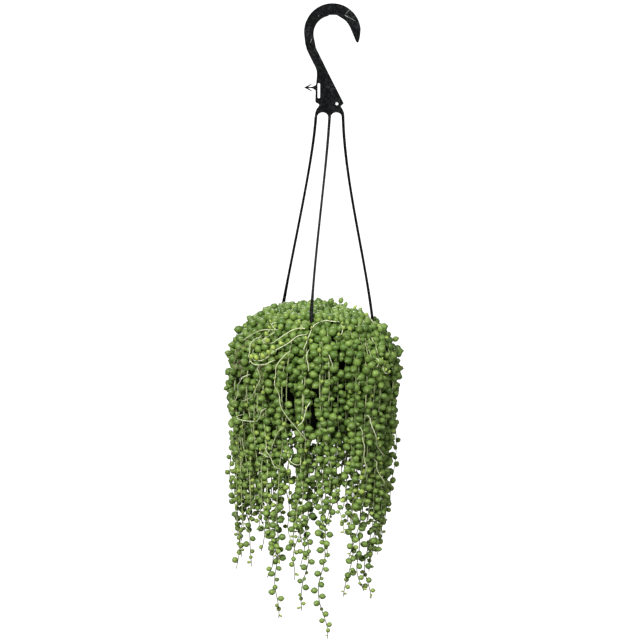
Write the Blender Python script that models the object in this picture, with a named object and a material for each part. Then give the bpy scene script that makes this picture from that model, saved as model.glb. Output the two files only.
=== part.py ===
import math
import random

import bmesh
import bpy
from mathutils import Euler, Vector

# The origin is the flat seat under the crown of the hook, the plate of the hook lies in the
# plane y = 0 and +Z is up. All sizes below are in millimetres and MM turns them into metres.
MM = 0.001

POT_AXIS_X = -12.5
RIM_Z = -345.5
RIM_RADIUS = 63.5
RIM_THICKNESS = 1.8
SKIRT_DEPTH = 6.0
SKIRT_INNER_RADIUS = 62.2
WALL_OUTER_RADIUS = 58.6
WALL_THICKNESS = 1.5
BASE_RADIUS = 42.0
POT_HEIGHT = 110.0
DRAIN_RADIUS = 4.0
DRAIN_RING_RADIUS = 22.0
DRAIN_COUNT = 4
DRAIN_CUT_DEPTH = 3.0
BASE_CHAMFER = 1.0
RIM_CHAMFER = 0.6
INNER_CHAMFER = 0.5
CUT_MARGIN = 1.0
POT_SIDES = 32

SOIL_DEPTH_BELOW_RIM = 10.0
STEM_HOLE_DEPTH = 8.0
STEM_HOLE_WIDTH = 2.8
SOIL_CORNER_ROOM = 0.25
TOUCH_GAP = 0.3

PLATE_THICKNESS = 3.6
TAG_BARB_THICKNESS = 2.0
FIRST_LEG_ANGLE = -11.2
LEG_RING_RADIUS = 60.4
LEG_FOOT_WIDTH = 4.6
LEG_NECK_WIDTH = 3.0
LEG_NECK_DEPTH = 1.8

STRAND_STEPS = 15
STRAND_STEP_ANGLE = 360.0 / STRAND_STEPS
PEARL_RADIUS_TOP = 4.9
PEARL_RADIUS_TIP = 3.1
PEARL_OFFSET = 2.3
PEARL_SIZE = 1.1
PEARL_BELT_HEIGHT = 0.46
PEARL_BELT_RADIUS = 0.88
PEARL_NECK = 0.95
LEAF_TURN = 137.5
STEM_RADIUS_TOP = 1.0
STEM_RADIUS_TIP = 0.65
BARE_STEP = 7.0
BARE_END = 9.0
STRAND_SEED = 7

CROWN_RADIUS = 32.0
CROWN_BASE = -3.0
CROWN_TOP = 31.0
CROWN_SQUARENESS = 2.8
CROWN_RELIEF = 1.0
CROWN_PEARLS = 62
CROWN_CORE_SIDES = 14
CROWN_CORE_STEPS = 5


def clear_scene():
    for old_object in list(bpy.data.objects):
        bpy.data.objects.remove(old_object, do_unlink=True)


def make_material(name, colour, roughness):
    """A plain Principled material with one colour."""
    material = bpy.data.materials.new(name)
    material.use_nodes = True
    shader = material.node_tree.nodes["Principled BSDF"]
    shader.inputs["Base Color"].default_value = (*colour, 1.0)
    shader.inputs["Roughness"].default_value = roughness
    material.diffuse_color = (*colour, 1.0)
    return material


def add_object(name, shape, material):
    """Turn a bmesh in millimetres into a scene object in metres, with its faces facing out."""
    bmesh.ops.recalc_face_normals(shape, faces=shape.faces)
    bmesh.ops.scale(shape, vec=(MM, MM, MM), verts=shape.verts)
    mesh = bpy.data.meshes.new(name)
    shape.to_mesh(mesh)
    shape.free()
    mesh.materials.append(material)
    new_object = bpy.data.objects.new(name, mesh)
    bpy.context.collection.objects.link(new_object)
    return new_object


def combine(target, cutter, operation):
    """Cut a cutter from a target, or join it to the target, and remove the cutter."""
    cutter.hide_render = True
    cutter.display_type = "WIRE"
    modifier = target.modifiers.new("combine", "BOOLEAN")
    modifier.operation = operation
    modifier.solver = "EXACT"
    modifier.object = cutter
    graph = bpy.context.evaluated_depsgraph_get()
    result = bpy.data.meshes.new_from_object(target.evaluated_get(graph))
    target.modifiers.clear()
    old_mesh = target.data
    target.data = result
    bpy.data.meshes.remove(old_mesh)
    bpy.data.objects.remove(cutter, do_unlink=True)


def polar(radius, angle, height):
    """A point round the pot: the angle runs from the front, -Y, towards +X, in degrees."""
    turn = math.radians(angle)
    x = POT_AXIS_X + radius * math.sin(turn)
    y = -radius * math.cos(turn)
    return Vector((x, y, RIM_Z + height))


def add_box(shape, centre, side_axis, depth_axis, side, depth, height):
    """Add a box with two level axes and a vertical one."""
    corners = []
    for level in (-0.5, 0.5):
        for along, across in ((-0.5, -0.5), (0.5, -0.5), (0.5, 0.5), (-0.5, 0.5)):
            point = centre + side_axis * side * along + depth_axis * depth * across
            corners.append(shape.verts.new(point + Vector((0.0, 0.0, height * level))))
    shape.faces.new(corners[0:4])
    shape.faces.new(corners[4:8])
    for index in range(4):
        following = (index + 1) % 4
        shape.faces.new((corners[index], corners[following], corners[following + 4], corners[index + 4]))


def turn_profile(profile, sides):
    """Turn a closed profile of (radius, height) points round the axis of the pot."""
    shape = bmesh.new()
    rings = []
    for radius, height in profile:
        if radius == 0.0:
            rings.append([shape.verts.new(polar(0.0, 0.0, height))])
        else:
            rings.append([shape.verts.new(polar(radius, 360.0 * k / sides, height)) for k in range(sides)])
    for lower, upper in zip(rings, rings[1:]):
        for k in range(sides):
            following = (k + 1) % sides
            if len(lower) == 1:
                shape.faces.new((lower[0], upper[k], upper[following]))
            elif len(upper) == 1:
                shape.faces.new((lower[k], lower[following], upper[0]))
            else:
                shape.faces.new((lower[k], lower[following], upper[following], upper[k]))
    return shape


def leg_axes(angle):
    """The tangent of the rim and the outward direction at a leg."""
    turn = math.radians(angle)
    tangent = Vector((math.cos(turn), math.sin(turn), 0.0))
    outward = Vector((math.sin(turn), -math.cos(turn), 0.0))
    return tangent, outward


# The hanger is one flat moulding: a hook like a walking stick's, a plate that widens
# downwards with a slot, a pin hole and a side barb for a plant tag, and three thin legs.

HOOK_OUTER_CENTRE = (-0.6, -18.4)
HOOK_OUTER_RADIUS = 31.1
HOOK_INNER_CENTRE = (-1.5, -20.6)
HOOK_INNER_RADIUS = 19.7
LEG_TOP_Z = -113.0
ARCH_SPRING_Z = -111.0
ARCH_RISE = 5.0
ARCH_STEPS = 8
LEFT_LEG_SPAN = (-20.4, -17.2)
MIDDLE_LEG_SPAN = (-5.3, -2.1)
RIGHT_LEG_SPAN = (9.6, 12.8)


def arc_points(centre, radius, start, end, steps):
    """Points of an arc in the plane of the plate, the angle counted from +X in degrees."""
    points = []
    for step in range(steps + 1):
        turn = math.radians(start + (end - start) * step / steps)
        points.append((centre[0] + radius * math.cos(turn), centre[1] + radius * math.sin(turn)))
    return points


def arch_points(left, right):
    """The arch between two legs, from its left foot over its top to its right foot."""
    half_width = 0.5 * (right - left)
    centre_x = 0.5 * (right + left)
    points = []
    for step in range(ARCH_STEPS + 1):
        turn = math.pi * (1.0 - step / ARCH_STEPS)
        points.append((centre_x + half_width * math.cos(turn), ARCH_SPRING_Z + ARCH_RISE * math.sin(turn)))
    return points


def plate_outline():
    """The outline of the plate and the pairs of points where the three legs go on."""
    points = [(26.8, -30.1), (28.3, -28.9), (29.4, -24.5), (30.0, -19.5)]
    points += arc_points(HOOK_OUTER_CENTRE, HOOK_OUTER_RADIUS, 6.0, 188.0, 24)
    points += [(-30.4, -31.4), (-28.6, -37.8), (-26.0, -43.4), (-22.0, -51.4), (-19.0, -57.0)]
    points += [(-17.8, -61.0), (-17.7, -66.2), (-18.3, -73.0), (-18.6, -75.9)]
    points += [(-22.6, -78.0), (-27.4, -78.2), (-23.5, -75.7), (-23.0, -74.4), (-31.9, -78.8)]
    points += [(-23.0, -83.2), (-23.5, -81.9), (-27.4, -79.4), (-22.6, -79.6), (-19.0, -81.9)]
    points += [(-19.4, -94.2), (-18.4, -95.6), (-15.8, -96.6), (-15.0, -98.0), (-15.8, -99.6)]
    points += [(-18.2, -102.6), (-19.6, -107.0), (LEFT_LEG_SPAN[0], LEG_TOP_Z)]
    leg_starts = [len(points) - 1]
    points += [(LEFT_LEG_SPAN[1], LEG_TOP_Z)]
    points += arch_points(LEFT_LEG_SPAN[1], MIDDLE_LEG_SPAN[0])
    points += [(MIDDLE_LEG_SPAN[0], LEG_TOP_Z)]
    leg_starts.append(len(points) - 1)
    points += [(MIDDLE_LEG_SPAN[1], LEG_TOP_Z)]
    points += arch_points(MIDDLE_LEG_SPAN[1], RIGHT_LEG_SPAN[0])
    points += [(RIGHT_LEG_SPAN[0], LEG_TOP_Z)]
    leg_starts.append(len(points) - 1)
    points += [(RIGHT_LEG_SPAN[1], LEG_TOP_Z), (12.6, -107.5), (11.2, -103.4), (8.5, -99.3), (12.0, -96.2)]
    points += [(-5.2, -62.6), (-12.6, -47.6), (-18.6, -35.6)]
    points += arc_points(HOOK_INNER_CENTRE, HOOK_INNER_RADIUS, 196.0, 101.0, 12)
    points += [(-4.1, 0.0), (3.7, 0.0), (7.0, -1.9), (9.8, -3.6), (12.5, -5.3), (14.8, -7.4)]
    points += [(16.9, -10.3), (18.8, -13.6), (21.8, -20.6), (24.3, -26.7), (25.5, -29.3)]
    return points, leg_starts


def slot_outline():
    """The long slot beside the tag barb, with round ends."""
    upper = arc_points((-15.5, -75.4), 1.35, 0.0, 180.0, 4)
    lower = arc_points((-15.5, -89.2), 1.35, 180.0, 360.0, 4)
    return upper + lower


def pin_hole_outline():
    return arc_points((4.4, -96.6), 1.6, 0.0, 324.0, 9)


def plate_half_depth(x, z):
    """The tag barb is thinner than the plate that it grows from."""
    on_barb = x < -20.0 and -84.0 < z < -74.0
    return 0.5 * (TAG_BARB_THICKNESS if on_barb else PLATE_THICKNESS)


# Each leg leaves the plate straight down and bends out to the rim of the pot. The inner
# points of its curve were measured along the legs in the photo. A foot wider than the slot
# stands on the rim, a neck goes through it and a barb under the rim holds the leg.

LEGS = (
    {"span": LEFT_LEG_SPAN, "angle": FIRST_LEG_ANGLE + 240.0, "twist": 48.8,
     "upper": (-22.3, 6.2, -164.1), "lower": (-46.8, 30.1, -269.8)},
    {"span": MIDDLE_LEG_SPAN, "angle": FIRST_LEG_ANGLE, "twist": -11.2,
     "upper": (-7.3, -8.6, -174.0), "lower": (-22.0, -49.7, -267.6)},
    {"span": RIGHT_LEG_SPAN, "angle": FIRST_LEG_ANGLE + 120.0, "twist": -71.2,
     "upper": (13.4, 2.2, -182.8), "lower": (35.3, 14.8, -262.9)},
)
LEG_STATIONS = 12
LEG_TOP_HALF_WIDTH = 1.6
LEG_HALF_WIDTH = 1.2
LEG_TOP_HALF_DEPTH = 1.8
LEG_HALF_DEPTH = 1.15
LEG_TAPER_SHARE = 1.0 / 3.0
FOOT_SHARE = 0.8
FOOT_HEIGHT = 9.0
FOOT_HALF_DEPTH = 1.1
STEP_HEIGHT = 0.1
BARB_HALF_WIDTH = 2.2
BARB_LENGTH = 5.0
BARB_TIP_HALF_WIDTH = 0.7
BARB_TIP_HALF_DEPTH = 0.5


def bezier(first, second, third, fourth, t):
    """A cubic curve through its first and fourth points."""
    s = 1.0 - t
    return first * s**3 + second * 3.0 * s * s * t + third * 3.0 * s * t * t + fourth * t**3


def leg_rings(leg):
    """The sections of one leg as (centre, side axis, depth axis, half side, half depth)."""
    first = Vector((0.5 * (leg["span"][0] + leg["span"][1]), 0.0, LEG_TOP_Z))
    foot = polar(LEG_RING_RADIUS, leg["angle"], FOOT_HEIGHT)
    foot_half_width = 0.5 * LEG_FOOT_WIDTH
    neck = (0.5 * LEG_NECK_WIDTH, 0.5 * LEG_NECK_DEPTH)
    rings = []
    for station in range(1, LEG_STATIONS + 1):
        t = station / LEG_STATIONS
        centre = bezier(first, Vector(leg["upper"]), Vector(leg["lower"]), foot, t)
        turn = math.radians(leg["twist"]) * t
        side_axis = Vector((math.cos(turn), math.sin(turn), 0.0))
        depth_axis = Vector((-math.sin(turn), math.cos(turn), 0.0))
        taper = min(1.0, t / LEG_TAPER_SHARE)
        widening = max(0.0, (t - FOOT_SHARE) / (1.0 - FOOT_SHARE))
        side = LEG_TOP_HALF_WIDTH + (LEG_HALF_WIDTH - LEG_TOP_HALF_WIDTH) * taper
        side += widening * (foot_half_width - LEG_HALF_WIDTH)
        depth = LEG_TOP_HALF_DEPTH + (LEG_HALF_DEPTH - LEG_TOP_HALF_DEPTH) * taper
        rings.append((centre, side_axis, depth_axis, side, depth))
    side_axis, depth_axis = rings[-1][1], rings[-1][2]
    below_flange = -RIM_THICKNESS - TOUCH_GAP
    for height, side, depth in (
        (TOUCH_GAP + STEP_HEIGHT, foot_half_width, FOOT_HALF_DEPTH),
        (TOUCH_GAP, *neck),
        (below_flange, *neck),
        (below_flange - STEP_HEIGHT, BARB_HALF_WIDTH, neck[1]),
        (below_flange - BARB_LENGTH, BARB_TIP_HALF_WIDTH, BARB_TIP_HALF_DEPTH),
    ):
        rings.append((polar(LEG_RING_RADIUS, leg["angle"], height), side_axis, depth_axis, side, depth))
    return rings


def fill_sheet(shape, loops):
    """Fill the plate's outline, less its holes, with triangles on one side of the plate."""
    edges = []
    for loop in loops:
        for index, vertex in enumerate(loop):
            following = loop[(index + 1) % len(loop)]
            edges.append(shape.edges.new((vertex, following)))
    filled = bmesh.ops.triangle_fill(shape, edges=edges, use_beauty=True)
    return [item for item in filled["geom"] if isinstance(item, bmesh.types.BMFace)]


def build_hanger():
    """The plate and the legs as one closed body."""
    shape = bmesh.new()
    outline, leg_starts = plate_outline()
    front = []
    back = []
    mirror = {}
    for loop in (outline, slot_outline(), pin_hole_outline()):
        front_loop = [shape.verts.new((x, -plate_half_depth(x, z), z)) for x, z in loop]
        back_loop = [shape.verts.new((x, plate_half_depth(x, z), z)) for x, z in loop]
        mirror.update(zip(front_loop, back_loop))
        front.append(front_loop)
        back.append(back_loop)
    for face in fill_sheet(shape, front):
        shape.faces.new([mirror[vertex] for vertex in reversed(face.verts)])
    legs_by_start = dict(zip(leg_starts, LEGS))
    for loop_index, (front_loop, back_loop) in enumerate(zip(front, back)):
        for index in range(len(front_loop)):
            following = (index + 1) % len(front_loop)
            base = (front_loop[index], front_loop[following], back_loop[following], back_loop[index])
            leg = legs_by_start.get(index) if loop_index == 0 else None
            if leg is None:
                shape.faces.new(base)
            else:
                grow_leg(shape, base, leg)
    material = make_material("hanger plastic", (0.018, 0.018, 0.02), 0.45)
    return add_object("hanger", shape, material)


def grow_leg(shape, base, leg):
    """Carry a leg on from four corners of the plate, ring by ring, and close its end."""
    ring = list(base)
    for centre, side_axis, depth_axis, side, depth in leg_rings(leg):
        corners = []
        for along, across in ((-1.0, -1.0), (1.0, -1.0), (1.0, 1.0), (-1.0, 1.0)):
            corners.append(shape.verts.new(centre + side_axis * side * along + depth_axis * depth * across))
        for k in range(4):
            following = (k + 1) % 4
            shape.faces.new((ring[k], ring[following], corners[following], corners[k]))
        ring = corners
    shape.faces.new(ring)


# The nursery pot is thin black plastic with a turned rim, slots in the rim for the legs and
# drain holes in its base.

def build_pot():
    inner_top = WALL_OUTER_RADIUS - WALL_THICKNESS
    profile = [
        (0.0, -POT_HEIGHT),
        (BASE_RADIUS - BASE_CHAMFER, -POT_HEIGHT),
        (BASE_RADIUS, -POT_HEIGHT + BASE_CHAMFER),
        (WALL_OUTER_RADIUS, -RIM_THICKNESS),
        (SKIRT_INNER_RADIUS, -RIM_THICKNESS),
        (SKIRT_INNER_RADIUS, -SKIRT_DEPTH),
        (RIM_RADIUS, -SKIRT_DEPTH),
        (RIM_RADIUS, -RIM_CHAMFER),
        (RIM_RADIUS - RIM_CHAMFER, 0.0),
        (inner_top + INNER_CHAMFER, 0.0),
        (inner_top, -INNER_CHAMFER),
        (BASE_RADIUS - WALL_THICKNESS, -POT_HEIGHT + WALL_THICKNESS),
        (0.0, -POT_HEIGHT + WALL_THICKNESS),
    ]
    shape = turn_profile(profile, POT_SIDES)
    pot = add_object("pot", shape, make_material("pot plastic", (0.02, 0.021, 0.022), 0.5))
    cutters = bmesh.new()
    for leg in LEGS:
        tangent, outward = leg_axes(leg["angle"])
        centre = polar(LEG_RING_RADIUS, leg["angle"], -0.5 * RIM_THICKNESS)
        add_box(cutters, centre, tangent, outward, LEG_NECK_WIDTH + 2.0 * TOUCH_GAP,
                LEG_NECK_DEPTH + 2.0 * TOUCH_GAP, RIM_THICKNESS + 2.0 * CUT_MARGIN)
    for k in range(DRAIN_COUNT):
        centre = polar(DRAIN_RING_RADIUS, 45.0 + 360.0 * k / DRAIN_COUNT, -POT_HEIGHT + 0.5 * WALL_THICKNESS)
        ring_ends = []
        for level in (-DRAIN_CUT_DEPTH, DRAIN_CUT_DEPTH):
            ring = []
            for side in range(8):
                turn = math.radians(45.0 * side)
                offset = Vector((DRAIN_RADIUS * math.cos(turn), DRAIN_RADIUS * math.sin(turn), level))
                ring.append(cutters.verts.new(centre + offset))
            ring_ends.append(ring)
        cutters.faces.new(ring_ends[0])
        cutters.faces.new(ring_ends[1])
        for side in range(8):
            following = (side + 1) % 8
            cutters.faces.new((ring_ends[0][side], ring_ends[0][following],
                               ring_ends[1][following], ring_ends[1][side]))
    combine(pot, add_object("pot cutters", cutters, pot.data.materials[0]), "DIFFERENCE")
    return pot


# The strands root in three rings of soil and go over the rim at three heights, so that the
# pearls of one never reach those of the next. Below the rim they hang in three curtains,
# which lean a little to the left of the pot.

SWAY_START = 60.0
INWARD_LEAN = 0.03
WAVE_DEGREES = 2.1
LOOSE_START = 235.0
LOOSE_LENGTH = 100.0
LOOSE_CURL = 14.0
SIDEWAYS_WAVE = 1.3
LEG_SIDESTEP = 4.6
LEG_SIDESTEP_END = 38.0
BARE_TO_HEIGHT = -36.0
CLEAR_OF_RIM = 64.0
TIP_LENGTH = 7.0
TIP_RADIUS = 0.45
PATH_POINTS = 240
FRONT_EXTRA_DROP = 22.0
DROP_CHANGE = (-26.0, 20.0)
SWAY_RANGE = (0.6, 1.3)
RIM_TO_SKIRT_ROOM = 2.0

LAYERS = {
    "outer": {"root": 42.0, "crest": 58.0, "crest_height": 18.0, "hang": 92.5, "hang_height": -50.0,
              "lean": 8.5, "bend": 1.2, "turn": 12.0, "first_pearl": 8.0, "pitch": 17.2, "drop": 182.0},
    "middle": {"root": 46.5, "crest": 60.5, "crest_height": 10.0, "hang": 81.0, "hang_height": -50.0,
               "lean": 5.0, "bend": 1.0, "turn": 0.0, "first_pearl": 3.0, "pitch": 18.4, "drop": 172.0},
    "inner": {"root": 51.5, "crest": 62.0, "crest_height": 3.4, "hang": 70.6, "hang_height": -22.0,
              "lean": 2.5, "bend": 1.0, "turn": 12.0, "first_pearl": None, "pitch": 19.4, "drop": 142.0},
}
LONG_DROPS = {
    ("outer", 0): 343.0,
    ("outer", 1): 292.0,
    ("outer", 2): 303.0,
    ("middle", 2): 290.0,
    ("middle", 0): 306.0,
    ("middle", 14): 318.0,
    ("outer", 11): 268.0,
}


def strand_plan(layer_name, step):
    """The seeded numbers of one strand: its drop below the rim, phase and sway."""
    order = list(LAYERS).index(layer_name)
    chance = random.Random(STRAND_SEED * 1000 + order * 100 + step)
    layer = LAYERS[layer_name]
    angle = FIRST_LEG_ANGLE + layer["turn"] + STRAND_STEP_ANGLE * step
    frontness = 0.5 + 0.5 * math.cos(math.radians(angle))
    drop = layer["drop"] + FRONT_EXTRA_DROP * frontness + chance.uniform(*DROP_CHANGE)
    drop = LONG_DROPS.get((layer_name, step), drop)
    return {
        "layer": layer,
        "angle": angle,
        "hang": layer["hang"] - layer["lean"] * math.sin(math.radians(angle)),
        "drop": drop,
        "phase": chance.uniform(0.0, 360.0),
        "sway": chance.uniform(*SWAY_RANGE),
        "curl": chance.uniform(-1.0, 1.0),
        "beside_leg": layer_name == "middle" and step % 5 == 0,
    }


def strand_point(plan, t):
    """The stem's centre: t runs 0 to 1 up to the crest, 1 to 2 over the rim, then down."""
    layer = plan["layer"]
    if t < 1.0:
        turn = 0.5 * math.pi * t
        start_height = -SOIL_DEPTH_BELOW_RIM
        radius = layer["crest"] - (layer["crest"] - layer["root"]) * math.cos(turn)
        height = start_height + (layer["crest_height"] - start_height) * math.sin(turn)
    elif t < 2.0:
        turn = 0.5 * math.pi * (t - 1.0)
        radius = layer["crest"] + (plan["hang"] - layer["crest"]) * math.sin(turn) ** layer["bend"]
        fall = layer["crest_height"] - layer["hang_height"]
        height = layer["hang_height"] + fall * math.cos(turn) ** layer["bend"]
    else:
        height = layer["hang_height"] - (t - 2.0) * (plan["drop"] + layer["hang_height"])
        radius = plan["hang"]
    below = max(0.0, -height - SWAY_START)
    wave = math.radians(plan["phase"] + WAVE_DEGREES * below)
    swing = plan["sway"] * min(1.0, below / SWAY_START)
    loose = (max(0.0, -height - LOOSE_START) / LOOSE_LENGTH) ** 2
    radius += swing * math.sin(wave) - INWARD_LEAN * below
    shift = swing * math.cos(SIDEWAYS_WAVE * wave) + LOOSE_CURL * plan["curl"] * loose
    if plan["beside_leg"]:
        past_rim = min(max(-height - SKIRT_DEPTH - RIM_TO_SKIRT_ROOM, 0.0), LEG_SIDESTEP_END)
        shift += LEG_SIDESTEP * (1.0 - past_rim / LEG_SIDESTEP_END)
    angle = plan["angle"] + math.degrees(shift / radius)
    return polar(radius, angle, height)


def strand_path(plan):
    """The stem as closely spaced points with their distances from the root."""
    points = [strand_point(plan, 3.0 * index / PATH_POINTS) for index in range(PATH_POINTS + 1)]
    distances = [0.0]
    for before, after in zip(points, points[1:]):
        distances.append(distances[-1] + (after - before).length)
    return points, distances


def path_at(points, distances, distance):
    """The point and the direction at a distance along a path."""
    distance = min(max(distance, 0.0), distances[-1] - 0.001)
    index = 0
    while distances[index + 1] < distance:
        index += 1
    share = (distance - distances[index]) / (distances[index + 1] - distances[index])
    direction = (points[index + 1] - points[index]).normalized()
    return points[index].lerp(points[index + 1], share), direction


def first_pearl_distance(plan, points, distances):
    """Where the pearls begin: on the way up, or below the rim where the stem goes over it bare."""
    layer = plan["layer"]
    bare_over_rim = plan["beside_leg"] or layer["first_pearl"] is None
    for point, distance in zip(points, distances):
        height = point.z - RIM_Z
        outside = (point.xy - Vector((POT_AXIS_X, 0.0))).length > CLEAR_OF_RIM
        if bare_over_rim and outside and height < BARE_TO_HEIGHT:
            return distance
        if not bare_over_rim and height > layer["first_pearl"]:
            return distance


def pearl_stations(plan, points, distances):
    """The distances of the pearls along a stem, as (distance, radius, turn)."""
    layer = plan["layer"]
    first = first_pearl_distance(plan, points, distances)
    pearled = distances[-1] - TIP_LENGTH - first
    count = int(pearled / layer["pitch"])
    stations = []
    for index in range(count + 1):
        distance = first + pearled * index / count
        share = distance / distances[-1]
        radius = PEARL_RADIUS_TOP + (PEARL_RADIUS_TIP - PEARL_RADIUS_TOP) * share**3
        stations.append((distance, radius, plan["phase"] + LEAF_TURN * index))
    return stations


def add_ring(shape, centre, direction, side_axis, radius, turned):
    """A ring of three points square to the stem, turned by half a step for every other one."""
    up_axis = direction.cross(side_axis).normalized()
    across = up_axis.cross(direction).normalized()
    ring = []
    for corner in range(3):
        turn = math.radians(120.0 * corner + 60.0 * turned)
        offset = across * math.cos(turn) + up_axis * math.sin(turn)
        ring.append(shape.verts.new(centre + offset * radius))
    return ring


def build_strand(name, plan, material):
    """One strand as a stem with solid pearls on alternate sides of it."""
    shape = bmesh.new()
    points, distances = strand_path(plan)
    total = distances[-1]
    tangent = leg_axes(plan["angle"])[0]
    sections = []
    root = points[0] - Vector((0.0, 0.0, STEM_HOLE_DEPTH - TOUCH_GAP))
    sections.append((root, Vector((0.0, 0.0, 1.0)), STEM_RADIUS_TOP, 0))
    stations = pearl_stations(plan, points, distances)
    bare = 0.0
    while bare < stations[0][0] - BARE_END:
        centre, direction = path_at(points, distances, bare)
        sections.append((centre, direction, STEM_RADIUS_TOP, 0))
        bare += BARE_STEP
    turned = 0
    for distance, pearl_radius, turn in stations:
        share = distance / total
        stem_radius = STEM_RADIUS_TOP + (STEM_RADIUS_TIP - STEM_RADIUS_TOP) * share
        size = PEARL_SIZE * pearl_radius
        centre, direction = path_at(points, distances, distance)
        up_axis = direction.cross(tangent).normalized()
        angle = math.radians(turn)
        side = tangent * math.cos(angle) + up_axis * math.sin(angle)
        middle = centre + side * PEARL_OFFSET * pearl_radius / PEARL_RADIUS_TOP
        belt = direction * PEARL_BELT_HEIGHT * size
        neck, neck_direction = path_at(points, distances, distance - PEARL_NECK * size)
        sections.append((neck, neck_direction, stem_radius, turned))
        sections.append((middle - belt, direction, PEARL_BELT_RADIUS * size, turned))
        turned += 1
        sections.append((middle + belt, direction, PEARL_BELT_RADIUS * size, turned))
        neck, neck_direction = path_at(points, distances, distance + PEARL_NECK * size)
        sections.append((neck, neck_direction, stem_radius, turned))
    tip, tip_direction = path_at(points, distances, total)
    sections.append((tip, tip_direction, TIP_RADIUS, turned))
    rings = [add_ring(shape, centre, direction, tangent, radius, steps)
             for centre, direction, radius, steps in sections]
    for before, after in zip(rings, rings[1:]):
        for k in range(3):
            following = (k + 1) % 3
            shape.faces.new((before[k], before[following], after[k]))
            shape.faces.new((before[following], after[following], after[k]))
    shape.faces.new(rings[0])
    shape.faces.new(rings[-1])
    return add_object(name, shape, material)


def all_plans():
    plans = []
    for layer_name in LAYERS:
        for step in range(STRAND_STEPS):
            plans.append(strand_plan(layer_name, step))
    return plans


# The potting mix fills the pot and has a plain hole for the root of every strand.

def build_soil(plans):
    slope = (WALL_OUTER_RADIUS - BASE_RADIUS) / (POT_HEIGHT - BASE_CHAMFER - RIM_THICKNESS)
    inner = WALL_OUTER_RADIUS - WALL_THICKNESS - TOUCH_GAP
    top_radius = inner - slope * (SOIL_DEPTH_BELOW_RIM - RIM_THICKNESS) - SOIL_CORNER_ROOM
    base_height = -POT_HEIGHT + WALL_THICKNESS + TOUCH_GAP
    base_radius = BASE_RADIUS - WALL_THICKNESS - TOUCH_GAP - SOIL_CORNER_ROOM
    profile = [
        (0.0, base_height),
        (base_radius, base_height),
        (top_radius, -SOIL_DEPTH_BELOW_RIM),
        (0.0, -SOIL_DEPTH_BELOW_RIM),
    ]
    shape = turn_profile(profile, POT_SIDES)
    soil = add_object("soil", shape, make_material("potting mix", (0.045, 0.03, 0.02), 0.9))
    cutters = bmesh.new()
    for plan in plans:
        tangent, outward = leg_axes(plan["angle"])
        root = strand_point(plan, 0.0)
        middle = RIM_Z - SOIL_DEPTH_BELOW_RIM - 0.5 * STEM_HOLE_DEPTH + CUT_MARGIN
        centre = Vector((root.x, root.y, middle))
        depth = STEM_HOLE_DEPTH + 2.0 * CUT_MARGIN
        add_box(cutters, centre, tangent, outward, STEM_HOLE_WIDTH, STEM_HOLE_WIDTH, depth)
    combine(soil, add_object("soil cutters", cutters, soil.data.materials[0]), "DIFFERENCE")
    return soil


# The middle of the crown is a packed mat of short shoots: a core with the pearls of the
# shoots standing out of it all over, a pearl's width apart.

def crown_profile(radius, height, steps):
    """The crown's rounded side from its top outwards, as (radius, height above its base)."""
    power = 2.0 / CROWN_SQUARENESS
    profile = []
    for step in range(steps + 1):
        turn = 0.5 * math.pi * step / steps
        profile.append((radius * math.sin(turn) ** power, height * math.cos(turn) ** power))
    return profile


def crown_pearl_places():
    """Places spread evenly over the crown, each next one a golden angle further round."""
    profile = crown_profile(CROWN_RADIUS, CROWN_TOP - CROWN_BASE - PEARL_RADIUS_TOP, 200)
    areas = [0.0]
    for before, after in zip(profile, profile[1:]):
        width = math.hypot(after[0] - before[0], after[1] - before[1])
        areas.append(areas[-1] + 0.5 * (before[0] + after[0]) * width)
    golden_angle = math.degrees(math.pi * (3.0 - math.sqrt(5.0)))
    places = []
    for index in range(CROWN_PEARLS):
        wanted = areas[-1] * (index + 0.5) / CROWN_PEARLS
        step = next(k for k, area in enumerate(areas) if area >= wanted)
        radius, height = profile[step]
        places.append(polar(radius, golden_angle * index, CROWN_BASE + height))
    return places


def add_eight_sided_pearl(shape, centre, radius, turn):
    """A pearl with eight faces, as on the strands, turned about three axes."""
    points = []
    for axis in ((1.0, 0.0, 0.0), (0.0, 1.0, 0.0), (0.0, 0.0, 1.0)):
        for sign in (1.0, -1.0):
            offset = Vector(axis) * sign * radius
            offset.rotate(turn)
            points.append(shape.verts.new(centre + offset))
    for x_end in (0, 1):
        for y_end in (2, 3):
            for z_end in (4, 5):
                shape.faces.new((points[x_end], points[y_end], points[z_end]))


def build_crown():
    chance = random.Random(STRAND_SEED)
    core_height = CROWN_TOP - CROWN_BASE - PEARL_RADIUS_TOP - CROWN_RELIEF
    core = [(radius, CROWN_BASE + height) for radius, height in
            crown_profile(CROWN_RADIUS - CROWN_RELIEF, core_height, CROWN_CORE_STEPS)]
    core.append((CROWN_RADIUS - CROWN_RELIEF, -SOIL_DEPTH_BELOW_RIM + TOUCH_GAP))
    core.append((0.0, -SOIL_DEPTH_BELOW_RIM + TOUCH_GAP))
    material = make_material("crown green", (0.10, 0.24, 0.05), 0.45)
    crown = add_object("crown", turn_profile(core, CROWN_CORE_SIDES), material)
    pearls = bmesh.new()
    for place in crown_pearl_places():
        turn = Euler([chance.uniform(0.0, math.pi) for axis in range(3)])
        add_eight_sided_pearl(pearls, place, PEARL_SIZE * PEARL_RADIUS_TOP, turn)
    combine(crown, add_object("crown pearls", pearls, material), "UNION")
    return crown


clear_scene()
strand_plans = all_plans()
build_hanger()
build_pot()
build_soil(strand_plans)
build_crown()
pearl_material = make_material("pearl green", (0.13, 0.30, 0.07), 0.4)
for number, strand in enumerate(strand_plans, start=1):
    build_strand(f"strand_{number:02d}", strand, pearl_material)
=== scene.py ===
import random
from math import atan2, cos, pi, radians, sin, sqrt

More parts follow.
